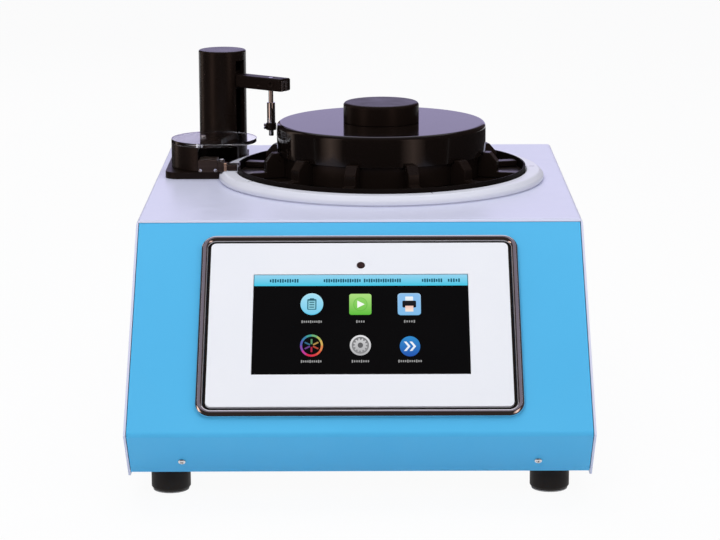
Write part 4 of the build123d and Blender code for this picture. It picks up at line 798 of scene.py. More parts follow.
recessOutlines = {
    # the drive's outline for a head's radius
    "cross": lambda head: crossOutline(head * 0.5, head * 0.1),
    "slot": lambda head: rectangle(head * 2.6, head * 0.3, 0),
    "hex": lambda head: circle(head * 0.5, steps=6),
}


def screwPattern(name, settings):
    # seat at the origin, head above it along Z, grooved shank below
    head, height = settings["head"], settings["height"]
    shank, length, pitch = settings["shank"], settings["length"], settings["pitch"]
    crown = settings.get("crown", 0.0)
    outline = [(0, -length)]
    level = -length
    while level < -2 * pitch:
        outline += [(shank - pitch * 0.35, level), (shank, level + pitch / 2)]
        level += pitch
    outline += [(shank, 0)]
    rim = [(head * 0.2, -0.001, 0), (head, 0, height * 0.06), (head, height - crown, settings["round"])]
    rim += [(0, height, 0)]
    outline += filleted(rim, 5)[1:]
    screw = turnedPiece(name, outline, (0, 0), 40)
    depth = height * settings["recessDepth"]
    recess = recessOutlines[settings["drive"]](head)
    cutBy(screw, extruded("recess", recess, height - depth, height + 1))
    return asPattern(smoothShading(screw, 30))


def nutPattern(name, across, height, bore):
    nut = extruded(name, circle(across, steps=6), 0, height)
    cutBy(nut, extruded("bore", circle(bore, steps=32), -1, height + 1))
    return asPattern(roundEdges(nut, 0.25, 2, 25))


smallCross = {"head": 2.7, "height": 1.7, "round": 0.9, "drive": "cross", "recessDepth": 0.7}
largeCross = {"head": 4.5, "height": 2.8, "round": 1.5, "crown": 0.7, "drive": "cross", "recessDepth": 0.7}
slotted = {"drive": "slot", "recessDepth": 0.45}
screwSettings = {
    "casing": {**smallCross, "crown": 0.45, "shank": 1.5, "length": 7.0, "pitch": 0.6},
    "base": {**largeCross, "shank": 2.5, "length": 7.0, "pitch": 0.9},
    "foot": {**largeCross, "shank": 2.45, "length": 22.1, "pitch": 1.0},
    "knob": {**largeCross, "shank": 2.45, "length": 22.9, "pitch": 1.0},
    "floor": {**smallCross, "crown": 0.4, "shank": 1.45, "length": 11.5, "pitch": 0.7},
    "guide": {**slotted, "head": 1.3, "height": 0.8, "round": 0.15,
              "shank": 0.65, "length": 0.8, "pitch": 0.3},
    "guard": {**slotted, "head": 2.1, "height": 1.2, "round": 0.5,
              "shank": 1.5, "length": 3.0, "pitch": 0.6},
    "probe": {"head": 2.4, "height": 1.9, "round": 0.25, "shank": 0.9, "length": 2.0, "pitch": 0.4,
              "drive": "slot", "recessDepth": 0.4},
    "clamp": {"head": 2.7, "height": 0.6, "round": 0.3, "shank": 1.45, "length": 14.0, "pitch": 0.7,
              "drive": "hex", "recessDepth": 0.6},
}
patterns = {name: screwPattern(name + "Pattern", settings) for name, settings in screwSettings.items()}
patterns["footNut"] = nutPattern("footNutPattern", 4.6, 4.0, 2.55)
patterns["frameNut"] = nutPattern("frameNutPattern", 3.6, 3.0, 2.05)


def fitScrews(name, pattern, places, body, roll, seed, *nodes):
    # each stands turned by chance about its own axis, as screws do after tightening
    screws = scattered(name, patterns[pattern], places, "brightSteel", roll, seed)
    settle(screws, body, "bright_screw", None, *nodes)


# The sloping display's own frame of reference
slopeLength = math.hypot(layout["slopeRun"], layout["slopeDrop"])
upSlope = Vector((0, layout["slopeRun"], layout["slopeDrop"])) / slopeLength
outOfSlope = Vector((0, -layout["slopeDrop"], layout["slopeRun"])) / slopeLength
displayMiddle = Vector((0, layout["slopeTop"], layout["topHeight"])) - upSlope * layout["displaySetback"]
displayPlace = Matrix.Identity(4)
for column, axis in enumerate((Vector((1, 0, 0)), upSlope, outOfSlope, displayMiddle)):
    for row in range(3):
        displayPlace[row][column] = axis[row]
displayPlace = toMetres @ displayPlace
screenPlace = displayPlace @ Matrix.Translation((*layout["screenShift"], 0))

# The folded casing
casingSettings = {
    # node: (piece, body, finish, slot, edge width, steps)
    "top_cover": ("topCoverSheet", "root", "whitePowderCoat", "white_paint", 0.35, 3),
    "front_panel": ("frontPanelSheet", "root", "blueEnamel", "blue_paint", 0.45, 3),
    "rear_panel": ("rearPanelSheet", "root", "whitePowderCoat", "white_paint", 0.3, 2),
    "base_tray": ("baseTraySheet", "root", "zincSheet", "zinc", 0.3, 2),
}
dressCopies(casingSettings)

up, down = (0, 0, 1), (0, 0, -1)
casingScrewSettings = {
    "chinPlaces": [(-124.7, -217.0, 31.0), (124.7, -217.0, 31.0)],
    "chinAim": (0, -0.7518, -0.6594),
    "rearFace": 236.5,
    "rearColumns": (-140, 0, 140),
    "rearRows": (30.9, 172.4),
    "baseColumns": (-155.8, 155.8),
    "baseRows": (-130, 30, 190),
    "baseLevel": 22.1,
}


def fitCasingScrews(settings):
    places = [(place, settings["chinAim"]) for place in settings["chinPlaces"]]
    places += [((x, settings["rearFace"], z), (0, 1, 0))
               for z in settings["rearRows"] for x in settings["rearColumns"]]
    fitScrews("casingScrews", "casing", places, "root", 3.0, 7, "casing_screws")
    places = [((x, y, settings["baseLevel"]), down)
              for x in settings["baseColumns"] for y in settings["baseRows"]]
    fitScrews("baseScrews", "base", places, "root", 3.0, 8, "base_screws")


fitCasingScrews(casingScrewSettings)
print("casing is folded and screwed together")

# Feet
footSettings = {
    "places": [(side * 135.3, y) for y in (-179.7, 193.5) for side in (-1, 1)],
    "radius": 14.05,
    "height": 22.1,
    "recessRadius": 5.5,
    "recessDepth": 6.0,
    "bore": 2.7,
    "pad": 0.9,
    "toe": (1.2, 1.8),  # how far in and up the tread is cut back
    "nutLevel": 23.7,
}


def makeFeet(settings):
    radius, height, pad = settings["radius"], settings["height"], settings["pad"]
    bore, recess, depth = settings["bore"], settings["recessRadius"], settings["recessDepth"]
    toeIn, toeUp = settings["toe"]
    tread = radius - toeIn
    corners = [(recess, pad, 0.3), (tread, pad, 0), (radius, pad + toeUp, 1.0), (radius, height, 0.5)]
    corners += [(bore, height, 0), (bore, depth, 0), (recess, depth, 0)]
    rubber = asPattern(turnedPiece("footPattern", filleted(corners), (0, 0), 96))
    ring = filleted([(recess, 0, 0.2), (tread, 0, 0.3), (tread, pad, 0), (recess, pad, 0)])
    felt = asPattern(turnedPiece("padPattern", ring, (0, 0), 96))
    places = [((x, y, 0), up) for x, y in settings["places"]]
    settle(scattered("rubberFeet", rubber, places, "mouldedRubber"), "root", "rubber", None, "feet")
    settle(scattered("footPads", felt, places, "greyFelt"), "root", "rubber", None)
    places = [((x, y, depth), down) for x, y in settings["places"]]
    fitScrews("footScrews", "foot", places, "root", 3.0, 9, "foot_screws")
    places = [((x, y, settings["nutLevel"]), up) for x, y in settings["places"]]
    fitScrews("footNuts", "footNut", places, "root", 1.0, 10)


makeFeet(footSettings)
print("feet are on")

# Display: chrome frame, gasket, faceplate, glass, sensor and the picture on the glass
frameSettings = {
    "width": 230.2,
    "height": 156.5,
    "radius": 11.5,
    "bar": 5.6,
    "depth": 3.6,
    "edge": 2.7,
    "gap": 2.0,
    "gasketHeight": 0.6,
    "gasketPlay": 0.05,
    "nutLevel": -1.6,
    "studRadius": 2.0,
    "studLength": 9.0,
    "studGroove": 0.2,
    "studPitch": 0.55,
    "studTurns": 14,
    "studStart": 0.9,
}


def ringOnSlope(name, width, height, radius, section, place):
    # a closed section of (inset, level) carried round a rounded rectangle
    steps = 14
    loops = [rectangle(width - 2 * inset, height - 2 * inset, radius - inset, steps=steps)
             for inset, level in section]
    count = len(loops[0])
    points = [(x, y, section[index][1]) for index, loop in enumerate(loops) for x, y in loop]
    faces = []
    for index in range(len(section)):
        here, there = index * count, (index + 1) % len(section) * count
        for step in range(count):
            following = (step + 1) % count
            faces.append((here + step, here + following, there + following, there + step))
    return smoothShading(addPiece(name, meshFrom(name, points, faces, place)), 50)


def makeFrame(settings):
    bar, depth, edge = settings["bar"], settings["depth"], settings["edge"]
    section = filleted([(0, 0, 0), (bar, 0, 0), (bar, depth, edge), (0, depth, edge)], 8)
    size = (settings["width"], settings["height"], settings["radius"])
    ring = ringOnSlope("displayFrame", *size, section, displayPlace)
    settle(ring, "root", "chrome", "brightChrome", "display_bezel")
    low, high = bar + settings["gasketPlay"], bar + settings["gap"] - settings["gasketPlay"]
    tall = settings["gasketHeight"]
    section = filleted([(low, 0, 0), (high, 0, 0), (high, tall, 0.25), (low, tall, 0.25)], 4)
    gasket = ringOnSlope("displayGasket", *size, section, displayPlace)
    settle(gasket, "root", "rubber", "mouldedRubber")
    studX = settings["width"] / 2 - bar / 2
    studY = settings["height"] / 2 - settings["radius"] - bar / 2
    corners = [(x, y) for x in (-studX, studX) for y in (-studY, studY)]
    inward = tuple(-outOfSlope)
    places = [(displayPlace @ Vector((*corner, settings["nutLevel"])) * 1000, inward) for corner in corners]
    fitScrews("frameNuts", "frameNut", places, "root", 1.0, 11, "bezel_nuts")
    radius, length = settings["studRadius"], settings["studLength"]
    outline = [(0, 0), (radius, 0)]
    for turn in range(settings["studTurns"]):
        level = settings["studStart"] + turn * settings["studPitch"]
        outline += [(radius - settings["studGroove"], level), (radius, level + 0.3)]
    outline += [(radius - 0.3, length), (0, length)]
    stud = asPattern(turnedPiece("studPattern", outline, (0, 0), 28))
    places = [(displayPlace @ Vector((*corner, 0)) * 1000, inward) for corner in corners]
    settle(scattered("frameStuds", stud, places, "groundSteel"), "root", "steel", None)


makeFrame(frameSettings)
faceSettings = {
    # node: (piece, body, finish, slot, edge width, steps)
    "display_faceplate": ("displayFaceplate", "root", "membraneWhite", "faceplate_white", 0.3, 2),
    "touch_glass": ("touchGlass", "root", "screenGlass", "screen", 0.15, 2),
    "status_lens": ("sensorLens", "root", "smokedLens", "lens", 0.05, 2),
}
dressCopies(faceSettings)

pictureSettings = {
    "glassTop": 2.2,
    "layer": 0.03,
    "barMiddle": 38.05,
    "barSize": (153.2, 9.7),
    "barColours": ((150, 214, 242), (66, 200, 232)),
    "iconColumns": (-35.0, -0.4, 34.5),
    "iconRows": (16.9, -18.9),
    "wheelSize": (16.2, 18.9),
    "wheelRim": (1.5, 1.7),
    "spoke": (4.4, 1.3, 0.5, 3.4),  # length, width, corner radius and how far out
    "spokeShade": 0.8,
    "gearTeeth": 12,
    "gearReach": (3.9, 5.1),
    "gearStretch": 1.17,
    "labelRows": (1.9, -32.1),
    "labelWidths": ((15.0, 6.6, 8.5), (15.0, 12.8, 17.1)),
    "titlePlaces": ((-55.1, 21.2), (1.0, 56.0), (51.1, 15.1), (66.8, 9.3)),  # middles and widths
    "longestRow": 30,  # a wider row of strips has a gap in its middle
}
# rows of strips in the place of words; every few strips, one has the height onBeat
titleStrips = {
    "pitch": 1.7, "width": 1.15, "tall": 3.2, "beat": 3, "onBeat": 2.4, "layer": 1, "ink": (12, 86, 108),
}
labelStrips = {
    "pitch": 1.55, "width": 1.0, "tall": 1.656, "beat": 4, "onBeat": 2.3, "layer": 0, "ink": (150, 150, 150),
}
arrowCorners = [(-1.6, 4.0), (0.2, 4.0), (3.0, 0), (0.2, -4.0), (-1.6, -4.0), (1.2, 0)]
iconShapes = {
    # kind, size with a block's corner radius, how far right and up, layer, colour above and below
    "clipboard": [
        ("oval", (16.2, 18.9), (0, 0.3), 0, (186, 236, 250), (92, 200, 236)),
        ("oval", (14.8, 17.3), (0, 0.3), 1, (166, 226, 248), (122, 208, 240)),
        ("block", (6.6, 9.4, 0.8), (0, 0), 2, (52, 112, 128)),
        ("block", (5.0, 7.2, 0.3), (0, -0.4), 3, (140, 206, 222)),
        ("block", (3.2, 1.9, 0.5), (0, 4.4), 3, (38, 92, 108)),
        ("block", (3.4, 0.8, 0.1), (0, 1.8), 4, (40, 96, 112)),
        ("block", (3.4, 0.8, 0.1), (0, -0.3), 4, (40, 96, 112)),
        ("block", (3.4, 0.8, 0.1), (0, -2.4), 4, (40, 96, 112)),
    ],
    "play": [
        ("block", (15.8, 18.3, 1.8), (0, 0), 0, (176, 226, 130), (94, 190, 60)),
        ("oval", (10.2, 12.0), (0, 0), 1, (128, 196, 92), (104, 184, 72)),
        ("oval", (9.0, 10.6), (0, 0), 2, (146, 212, 104), (118, 202, 78)),
        ("corners", [(-2.2, 3.2), (-2.2, -3.2), (3.1, 0)], (0, 0), 3, (250, 255, 246)),
    ],
    "printer": [
        ("block", (16.5, 19.2, 2.4), (0, 0), 0, (166, 206, 240), (122, 186, 232)),
        ("block", (15.2, 17.8, 1.9), (0, 0), 1, (140, 192, 240), (132, 190, 236)),
        ("block", (5.6, 4.4, 0.4), (0, 4.4), 2, (246, 250, 254), (220, 234, 246)),
        ("block", (9.8, 6.0, 0.9), (0, 0), 3, (22, 24, 30), (10, 10, 14)),
        ("block", (5.8, 5.0, 0.3), (0, -4.0), 4, (240, 196, 184), (250, 236, 222)),
    ],
    "gear": [
        ("oval", (14.9, 17.4), (0, 0.4), 0, (232, 232, 234), (176, 176, 178)),
        ("oval", (12.2, 14.4), (0, 0.4), 1, (120, 120, 122), (142, 142, 144)),
        ("oval", (3.8, 4.6), (0, 0.4), 3, (96, 96, 98)),
    ],
    "arrows": [
        ("oval", (14.4, 17.2), (0.1, -0.6), 0, (50, 140, 206), (34, 84, 176)),
        ("corners", arrowCorners, (-2.6, -0.6), 1, (250, 252, 255), (226, 236, 248)),
        ("corners", arrowCorners, (1.4, -0.6), 1, (250, 252, 255), (226, 236, 248)),
    ],
}
wheelHues = [
    (214, 44, 82), (196, 60, 150), (132, 76, 170), (86, 92, 176), (62, 128, 170), (70, 160, 150),
    (110, 176, 120), (170, 180, 96), (214, 176, 92), (222, 134, 78), (220, 92, 66), (218, 58, 70),
]


def linear(colour):
    # an 8-bit screen colour as light
    shares = [value / 255 for value in colour]
    return [share / 12.92 if share <= 0.04 else ((share + 0.055) / 1.055) ** 2.4 for share in shares]


class Picture:
    # flat lit shapes stacked in thin layers on the glass
    def __init__(self, settings):
        self.settings = settings
        self.points, self.faces, self.colours = [], [], []

    def shape(self, outline, layer, top, bottom=None):
        low = self.settings["glassTop"] + layer * self.settings["layer"]
        high = low + self.settings["layer"] * 0.9
        first, count = len(self.points), len(outline)
        lowest = min(y for x, y in outline)
        tall = max(max(y for x, y in outline) - lowest, 1e-6)
        start, end = linear(bottom or top), linear(top)
        for level in (low, high):
            for x, y in outline:
                share = (y - lowest) / tall
                self.points.append((x, y, level))
                self.colours.append([a + (b - a) * share for a, b in zip(start, end)])
        self.faces.append([first + index for index in reversed(range(count))])
        self.faces.append([first + count + index for index in range(count)])
        for index in range(count):
            here, following = first + index, first + (index + 1) % count
            self.faces.append([here, following, count + following, count + here])

    def finish(self, name, place):
        mesh = bpy.data.meshes.new(name)
        mesh.from_pydata(self.points, [], self.faces)
        mesh.transform(place)
        light = mesh.attributes.new("lit", "FLOAT_COLOR", "POINT")
        for index, colour in enumerate(self.colours):
            light.data[index].color = (*colour, 1)
        return addPiece(name, mesh)


def litPixels(place):
    # the display's own light, read from the picture, with its fine grid of pixels
    material = bpy.data.materials.new("litPixels")
    material.use_nodes = True
    tree = material.node_tree
    shader = tree.nodes["Principled BSDF"]
    shader.inputs["Base Color"].default_value = (0.004, 0.004, 0.004, 1)
    shader.inputs["Roughness"].default_value = 0.25
    shader.inputs["Specular IOR Level"].default_value = 0.08
    shader.inputs["Emission Strength"].default_value = 1.0
    light = tree.nodes.new("ShaderNodeAttribute")
    light.attribute_name = "lit"
    slopeAngle = math.atan2(layout["slopeDrop"], layout["slopeRun"])
    vector = placedCoordinates(tree, place.translation * 1000, (slopeAngle, 0, 0))
    shades = []
    for direction in ("X", "Y"):
        lines = textureNode(tree, "ShaderNodeTexWave", vector, Scale=830.0)
        lines.bands_direction = direction
        shades.append(mapRange(tree, lines.outputs["Fac"], 0.9, 1.02, 0.0, 0.35))
    grid = mathNode(tree, "MULTIPLY", *shades)
    dim = tree.nodes.new("ShaderNodeVectorMath")
    dim.operation = "SCALE"
    tree.links.new(light.outputs["Color"], dim.inputs[0])
    tree.links.new(grid, dim.inputs["Scale"])
    tree.links.new(dim.outputs[0], shader.inputs["Emission Color"])
    return material


def ellipse(width, height, x, y):
    return [(x + px * width / 2, y + py * height / 2) for px, py in circle(1, steps=56)]


def tilted(outline, angle, x, y):
    turn = Matrix.Rotation(math.radians(angle), 2)
    return [tuple(turn @ Vector(point) + Vector((x, y))) for point in outline]


def stripRow(picture, x, y, width, strips):
    # plain upright strips where a row of words would stand
    count = max(3, round(width / strips["pitch"]))
    for strip in range(count):
        if width > picture.settings["longestRow"] and strip == count // 2:
            continue
        tall = strips["tall"] if strip % strips["beat"] else strips["onBeat"]
        place = x - width / 2 + (strip + 0.5) * width / count
        picture.shape(rectangle(strips["width"], tall, 0.2, place, y, 2), strips["layer"], strips["ink"])


def drawIcon(picture, name, x, y):
    for kind, size, shift, layer, *colours in iconShapes[name]:
        place = (x + shift[0], y + shift[1])
        if kind == "corners":
            outline = tilted(size, 0, *place)
        else:
            outline = (ellipse if kind == "oval" else rectangle)(*size, *place)
        picture.shape(outline, layer, *colours)


def drawWheel(picture, x, y):
    # segments of a coloured ring, with a spoke from every other one
    wide, tall = picture.settings["wheelSize"]
    rimX, rimY = picture.settings["wheelRim"]
    pitch = 360 / len(wheelHues)
    for index, hue in enumerate(wheelHues):
        turns = [math.radians(-90 - (index + share / 4) * pitch) for share in range(5)]
        outer = [(x + math.cos(turn) * wide / 2, y + math.sin(turn) * tall / 2) for turn in turns]
        inner = [(x + math.cos(turn) * (wide / 2 - rimX), y + math.sin(turn) * (tall / 2 - rimY))
                 for turn in reversed(turns)]
        picture.shape(outer + inner, 0, hue)
        if index % 2 == 0:
            spoke = tilted(rectangle(*picture.settings["spoke"]), -90 - pitch * index, x, y)
            picture.shape(spoke, 0, [value * picture.settings["spokeShade"] for value in hue])


def drawTeeth(picture, x, y):
    root, tip = picture.settings["gearReach"]
    count = picture.settings["gearTeeth"]
    teeth = []
    for tooth in range(count):
        for share, reach in ((0.05, root), (0.2, tip), (0.55, tip), (0.7, root)):
            turn = 2 * math.pi * (tooth + share) / count
            stretched = reach * picture.settings["gearStretch"]
            teeth.append((x + reach * math.cos(turn), y + stretched * math.sin(turn)))
    picture.shape(teeth, 2, (206, 206, 208), (176, 176, 178))


def drawPicture(settings):
    picture = Picture(settings)
    middle = settings["barMiddle"]
    picture.shape(rectangle(*settings["barSize"], 0, 0, middle), 0, *settings["barColours"])
    for x, width in settings["titlePlaces"]:
        stripRow(picture, x, middle - 0.3, width, titleStrips)

    left, centre, right = settings["iconColumns"]
    upper, lower = settings["iconRows"]
    drawIcon(picture, "clipboard", left, upper)
    drawIcon(picture, "play", centre, upper)
    drawIcon(picture, "printer", right, upper)
    drawWheel(picture, left + 0.1, lower + 0.3)
    drawIcon(picture, "gear", centre, lower)
    drawTeeth(picture, centre, lower + 0.4)
    drawIcon(picture, "arrows", right, lower)

    for row, widths in zip(settings["labelRows"], settings["labelWidths"]):
        for x, width in zip(settings["iconColumns"], widths):
            stripRow(picture, x, row, width, labelStrips)
    return picture.finish("screenPicture", screenPlace)


screenPicture = drawPicture(pictureSettings)
screenPicture.data.materials.append(litPixels(screenPlace))
settle(screenPicture, "root", "screen", None)
print("display is lit")

# Carousel: collar, liner, floor, hub, vanes and lid
carouselSettings = {
    "floorTop": 184.0,
    "collar": [(115.2, 180, 0), (128, 180, 0), (128, 181, 0.2), (129.4, 181, 0.5), (129.4, 184, 3.2),
               (125.6, 187.7, 3.2), (116.5, 187.7, 1.2), (115.2, 186.4, 0.9)],
    "notch": (60, 28.0, 20),  # length, width and height of what is cut away for the jaw
    "notchLeft": 122,
    "floorScrewCircle": 27,
    "knobScrewLevel": 210.9,
    "liner": [(113.5, 184, 0), (114.9, 184, 0), (114.9, 191, 0.3), (113.5, 191, 0.3)],
    "hub": [(8.05, 184.3, 0), (22.5, 184.3, 0.5), (22.5, 197.3, 1.0), (69.5, 197.3, 1.5), (69.5, 184.3, 0.5),
            (80, 184.3, 0.4), (80, 201.3, 0.4), (30, 201.3, 0), (30, 207.3, 0.6), (8.05, 207.3, 0.3)],
    "cover": [(11, 207.9, 0.4), (11, 221.3, 1.0), (79.2, 221.3, 2.0), (79.2, 201.3, 0.3),
              (83.2, 201.3, 0.4), (83.2, 225.3, 3.6), (2.7, 225.3, 0), (2.7, 210.9, 0),
              (5.0, 210.9, 0), (5.0, 207.9, 0)],
    "knob": [(2.55, 225.3, 0), (30, 225.3, 0.5), (30, 241.0, 2.6), (0, 241.0, 0), (0, 234.3, 0),
             (2.55, 234.3, 0)],
    "vane": [(79.9, 184.3), (112.5, 184.3), (112.5, 189.0), (95, 189.0), (95, 197.2),
             (89.1, 204.0), (83.5, 204.0), (83.5, 201.3), (79.9, 201.3)],
    "vaneThickness": 9.0,
    "pockets": 12,
    "indexMarks": [(2.6, 120.6), (-71.5, 118.9), (-149.0, 118.9)],  # degrees and radii
    "markSize": (4.4, 1.1, 0.3),
    "markDepth": 0.8,
    "markProud": 0.03,
}


def pointRound(centre, radius, degrees):
    turn = math.radians(degrees)
    return centre[0] + radius * math.cos(turn), centre[1] + radius * math.sin(turn)


def makeCarousel(settings):
    centre = layout["carousel"]
    floorTop = settings["floorTop"]
    length, width, tall = settings["notch"]
    opening = rectangle(length, width, 0, centre[0] - settings["notchLeft"], centre[1])
    for name, key, finish, slotName, node in (
        ("carouselCollar", "collar", "collarWhite", "collar_white", "carousel_collar"),
        ("wellLiner", "liner", "linerBlack", "black_acetal", "well_liner"),
    ):
        ring = turnedPiece(name, filleted(settings[key], 4), centre, 240)
        cutBy(ring, extruded("notch", opening, floorTop, floorTop + tall))
        settle(smoothShading(ring, 35), "root", slotName, finish, node)
    marks = []
    rise = settings["collar"][-2][1]
    for angle, radius in settings["indexMarks"]:
        x, y = pointRound(centre, radius, angle)
        mark = tilted(rectangle(*settings["markSize"]), angle, x, y)
        marks.append(extruded("mark", mark, rise - settings["markDepth"], rise + settings["markProud"]))
    settle(joined("collarMarks", marks), "root", "collar_white", "markingGrey")

    floor = roundEdges(cadCopy("carousel_floor", "carouselFloor"), 0.25, 2)
    settle(floor, "root", "black_acetal", "blackAcetal", "carousel_floor")
    spots = [pointRound(centre, settings["floorScrewCircle"], angle) for angle in (45, 135, 225, 315)]
    places = [((*spot, floorTop), up) for spot in spots]
    fitScrews("floorScrews", "floor", places, "root", 3.0, 12, "floor_screws")

    hub = turnedPiece("carouselHub", filleted(settings["hub"], 4), centre, 220)
    settle(hub, "carousel", "black_acetal", "blackAcetal", "carousel_hub")

    half = settings["vaneThickness"] / 2
    standUp = toMetres @ Matrix.Rotation(math.pi / 2, 4, "X")
    vane = extruded("vanePattern", settings["vane"], -half, half, standUp)
    vane = asPattern(roundEdges(vane, 0.7, 3, 25))
    values = {
        "Pattern": vane,
        "Count": settings["pockets"],
        "Centre": (centre[0] * 0.001, centre[1] * 0.001, 0),
        "First angle": math.pi / settings["pockets"],
        "Finish": finishes["blackAcetal"],
    }
    settle(growTree("pocketVanes", ringOfCopies, values), "carousel", "black_acetal", None, "pocket_vanes")

    cover = turnedPiece("coverDisc", filleted(settings["cover"], 10), centre, 256)
    settle(cover, "lid", "gloss_black", "polishedBlack", "cover_disc")
    knob = turnedPiece("lidKnob", filleted(settings["knob"], 10), centre, 192)
    settle(knob, "lid", "gloss_black", "knobBlack", "lid_knob")
    places = [((*centre, settings["knobScrewLevel"]), down)]
    fitScrews("knobScrew", "knob", places, "lid", 0.0, 4, "knob_screw")


makeCarousel(carouselSettings)
print("carousel turns under its lid")

# Crushing station
stationSettings = {
    # node: (piece, body, finish, slot, edge width, steps)
    "station_plate": ("stationPlate", "root", "satinAnodised", "black_anodised", 0.45, 3),
    "jaw_housing": ("jawHousing", "root", "blackAnodised", "black_anodised", 0.4, 2),
    "jaw_guide": ("jawGuide", "root", "darkGroundSteel", "gunmetal", 0.2, 2),
    # the brass bush takes the dark steel finish, so its glint shows only as the painted highlight of the
    # bright sleeve below
    "jaw_bush": ("jawBush", "root", "darkGroundSteel", "brass", 0.3, 2),
    "jaw_ram": ("jawRam", "jaw", "darkGroundSteel", "gunmetal", 0.25, 2),
    "jaw_face": ("jawFace", "jaw", "brightSteel", "steel", 0.2, 2),
}
dressCopies(stationSettings)

glintSleeveSettings = {
    # a thin bright brass sleeve round the jaw where it leaves its guide: a painted highlight, standing for
    # the glint on the brass bush
    "middle": (78.0, 188.95),
    "size": (8.4, 6.6),
    "wall": 0.75,
    "corners": (1.6, 0.9),
    "from": -109.0,
    "to": -106.4,
}


def makeGlintSleeve(settings):
    y, z = settings["middle"]
    width, height = settings["size"]
    outside, inside = settings["corners"]
    wall, left, right = settings["wall"], settings["from"], settings["to"]
    alongX = toMetres @ Matrix(((0, 0, 1, 0), (1, 0, 0, 0), (0, 1, 0, 0), (0, 0, 0, 1)))
    sleeve = extruded("jawSleeve", rectangle(width, height, outside, y, z, 8), left, right, alongX)
    inner = rectangle(width - 2 * wall, height - 2 * wall, inside, y, z, 8)
    cutBy(sleeve, extruded("bore", inner, left - 1, right + 1, alongX))
    # the sleeve's bright brass is the painted highlight of the bush's glint
    settle(roundEdges(sleeve, 0.25, 2), "root", "brass", "turnedBrass")


makeGlintSleeve(glintSleeveSettings)

guardSettings = {
    "radius": 34.5,
    "low": 205.0,
    "high": 208.0,
    "edge": 0.35,
    "screw": (-126.9, 111.5),
    "bore": 1.7,
    "guideScrews": [(-127.3, 71.8, 187.2), (-115.3, 71.8, 187.2)],
    "topScrew": (-110.9, 81.4, 193.4),
}


def makeGuard(settings):
    radius, low, high = settings["radius"], settings["low"], settings["high"]
    edge = settings["edge"]
    corners = [(0, low, 0), (radius, low, edge), (radius, high, edge), (0, high, 0)]
    disc = turnedPiece("guardDisc", filleted(corners, 3), layout["housing"], 160)
    cutBy(disc, extruded("bore", circle(settings["bore"], *settings["screw"], 32), low - 1, high + 1))
    settle(smoothShading(disc, 35), "root", "clear_acrylic", "clearAcrylic", "guard_disc")
    places = [(place, (0, -1, 0)) for place in settings["guideScrews"]]
    fitScrews("guideScrews", "guide", places, "root", 3.0, 13, "station_screws")
    places = [((*settings["screw"], high), up), (settings["topScrew"], up)]
    fitScrews("topScrews", "guard", places, "root", 3.0, 14)


makeGuard(guardSettings)
print("crushing station is set")

# Thickness gauge
gaugeSettings = {
    "cap": [(0, 267.4, 0), (15.85, 267.4, 0.4), (15.85, 269.4, 0), (19.5, 269.4, 0.1), (19.5, 272.6, 1.4),
            (0, 272.6, 0)],
    "barrel": [(2.05, 216.4, 0), (3.4, 216.4, 0.3), (3.4, 233.2, 0.5), (2.0, 233.2, 0), (2.0, 253.7, 0.3),
               (0, 253.7, 0), (0, 229.0, 0), (2.05, 229.0, 0)],
    "collar": [(2.05, 210.6, 0), (4.1, 210.6, 0.4), (4.1, 216.4, 0.4), (2.05, 216.4, 0)],
    "plunger": [(0, 205.7, 0), (2.0, 205.7, 0.6), (2.0, 221.7, 0.3), (0, 221.7, 0)],
    "clampPlace": (-72.45, 121.65, 248.6),
    "clampAim": (-0.614, -0.789, 0),
    "probeScrew": (-76.66, 129.65, 213.5),
}


def makeGauge(settings):
    column = roundEdges(cadCopy("column", "gaugeColumn"), 0.4, 2)
    settle(column, "root", "black_anodised", "blackAnodised", "column")
    cap = turnedPiece("columnCap", filleted(settings["cap"], 4), layout["column"], 96)
    settle(cap, "root", "black_anodised", "blackAnodised", "column_cap")
    arm = roundEdges(cadCopy("arm", "gaugeArm"), 0.35, 2)
    settle(arm, "arm", "black_anodised", "satinAnodised", "arm")
    for name, key, body, finish, slotName, node in (
        ("probeBarrel", "barrel", "arm", "brightChrome", "chrome", "probe_barrel"),
        ("probeCollar", "collar", "arm", "blackAnodised", "black_anodised", "probe_collar"),
        ("probePlunger", "plunger", "plunger", "groundSteel", "steel", "probe_plunger"),
    ):
        turned = turnedPiece(name, filleted(settings[key], 5), layout["probe"], 72)
        settle(turned, body, slotName, finish, node)
    place = [(settings["clampPlace"], settings["clampAim"])]
    clamp = scattered("clampScrew", patterns["clamp"], place, "blackAnodised")
    settle(clamp, "arm", "bright_screw", None, "gauge_screws")
    fitScrews("probeScrew", "probe", [(settings["probeScrew"], (-1, 0, 0))], "arm", 3.0, 5)


makeGauge(gaugeSettings)

endPlateSettings = {
    # the bright clamp plate let into the arm's end, seen as two legs
    "width": 7.4,
    "height": 8.4,
    "bridge": 1.8,
    "gap": 1.7,
    "offset": -1.5,
    "low": 243.6,
    "sunk": -0.6,
    "proud": 0.35,
}


def makeEndPlate(settings):
    column, probe = Vector(layout["column"]), Vector(layout["probe"])
    along = (probe - column).normalized()
    across = Vector((-along.y, along.x))
    end = column + along * layout["armReach"]
    middle = settings["offset"]
    left, right = middle - settings["width"] / 2, middle + settings["width"] / 2
    low, high = settings["low"], settings["low"] + settings["height"]
    inner, outer = middle - settings["gap"] / 2, middle + settings["gap"] / 2
    under = high - settings["bridge"]
    outline = [(left, low), (inner, low), (inner, under), (outer, under)]
    outline += [(outer, low), (right, low), (right, high), (left, high)]
    place = Matrix((
        (across.x, 0, along.x, end.x),
        (across.y, 0, along.y, end.y),
        (0, 1, 0, 0),
        (0, 0, 0, 1),
    ))
    plate = extruded("armEndPlate", outline, settings["sunk"], settings["proud"], toMetres @ place)
    settle(roundEdges(plate, 0.12, 2), "arm", "steel", "groundSteel")


makeEndPlate(endPlateSettings)

springSettings = {
    "low": 221.7,
    "high": 227.7,
    "radius": 1.2,
    "wire": 0.17,
    "turns": 7.5,
    "pointsPerTurn": 28,
    "solid": 1 / 6,  # of its height, with its turns pressed together
}


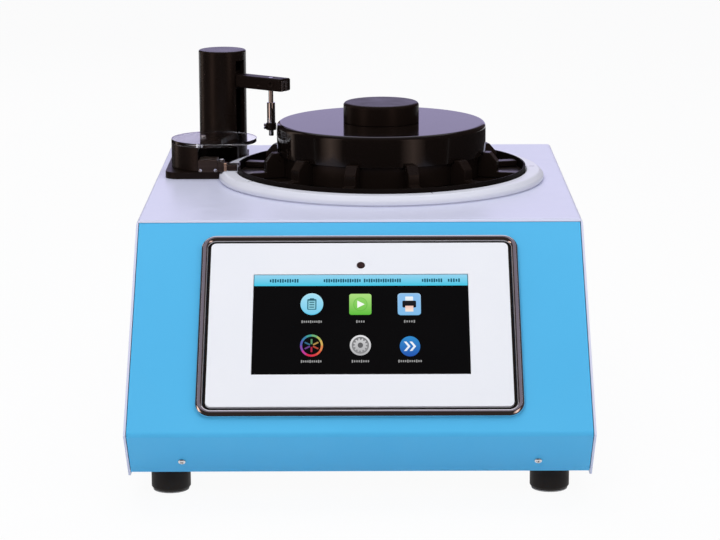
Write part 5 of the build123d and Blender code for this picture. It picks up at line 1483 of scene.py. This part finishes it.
def sectionCurve(name, outline):
    data = bpy.data.curves.new(name, "CURVE")
    data.dimensions = "2D"
    line = data.splines.new("POLY")
    line.points.add(len(outline) - 1)
    for point, (x, y) in zip(line.points, outline):
        point.co = (x * 0.001, y * 0.001, 0, 1)
    line.use_cyclic_u = True
    section = bpy.data.objects.new(name, data)
    scene.collection.objects.link(section)
    return section


def makeSpring(settings):
    # the tree makes it upright at the origin, and it is then moved to its axis
    wire = sectionCurve("wireSection", circle(settings["wire"], steps=10))
    low, high = settings["low"] + settings["wire"], settings["high"] - settings["wire"]
    values = {
        "Section": wire,
        "Radius": settings["radius"] * 0.001,
        "Length": (high - low) * 0.001,
        "Turns": settings["turns"],
        "Points per turn": settings["pointsPerTurn"],
        "Finish": finishes["groundSteel"],
    }
    spring = growTree("probeSpring", helixSweep, values)
    spring.data.transform(Matrix.Translation(Vector((*layout["probe"], low)) * 0.001))
    smoothShading(spring, 60)
    bpy.data.objects.remove(wire)
    settle(spring, "arm", "steel", None, "probe_spring")
    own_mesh(spring)


makeSpring(springSettings)
print("gauge stands on its column")

# Rear sockets and switch
rearSettings = {
    # node: (piece, body, finish, slot, edge width, steps)
    "power_inlet": ("powerInlet", "root", "socketBlack", "socket_black", 0.3, 2),
    "power_switch": ("powerSwitch", "root", "socketBlack", "socket_black", 0.3, 2),
    "power_rocker": ("powerRocker", "rocker", "socketBlack", "socket_black", 0.35, 2),
    "data_sockets": ("dataSockets", "root", "brightSteel", "socket_metal", 0.12, 2),
}
dressCopies(rearSettings)
print("rear sockets are in")

# What works inside keeps its own shape and gets its finish
insideFinishes = {
    "machinedAluminium": [
        "bearing_housing", "jaw_drive_frame", "jaw_carriage", "driven_pulley", "motor_pulley",
    ],
    "zincSheet": ["motor_bracket", "display_module"],
    "groundSteel": ["drive_spindle", "jaw_lead_screw", "lift_screw"],
    "brightSteel": ["spindle_bearings", "guide_rods", "load_cell"],
    "mouldedRubber": ["drive_belt"],
    "motorPaint": ["drive_motors", "lift_motor"],
    "solderResist": ["controller_board", "power_supply"],
}
for finish, nodes in insideFinishes.items():
    for node in nodes:
        for materialSlot in frame["nodes"][node].material_slots:
            materialSlot.material = finishes[finish]
print("inner parts are finished")

for pattern in [piece for piece in scene.objects if piece.name.endswith("Pattern")]:
    bpy.data.objects.remove(pattern)
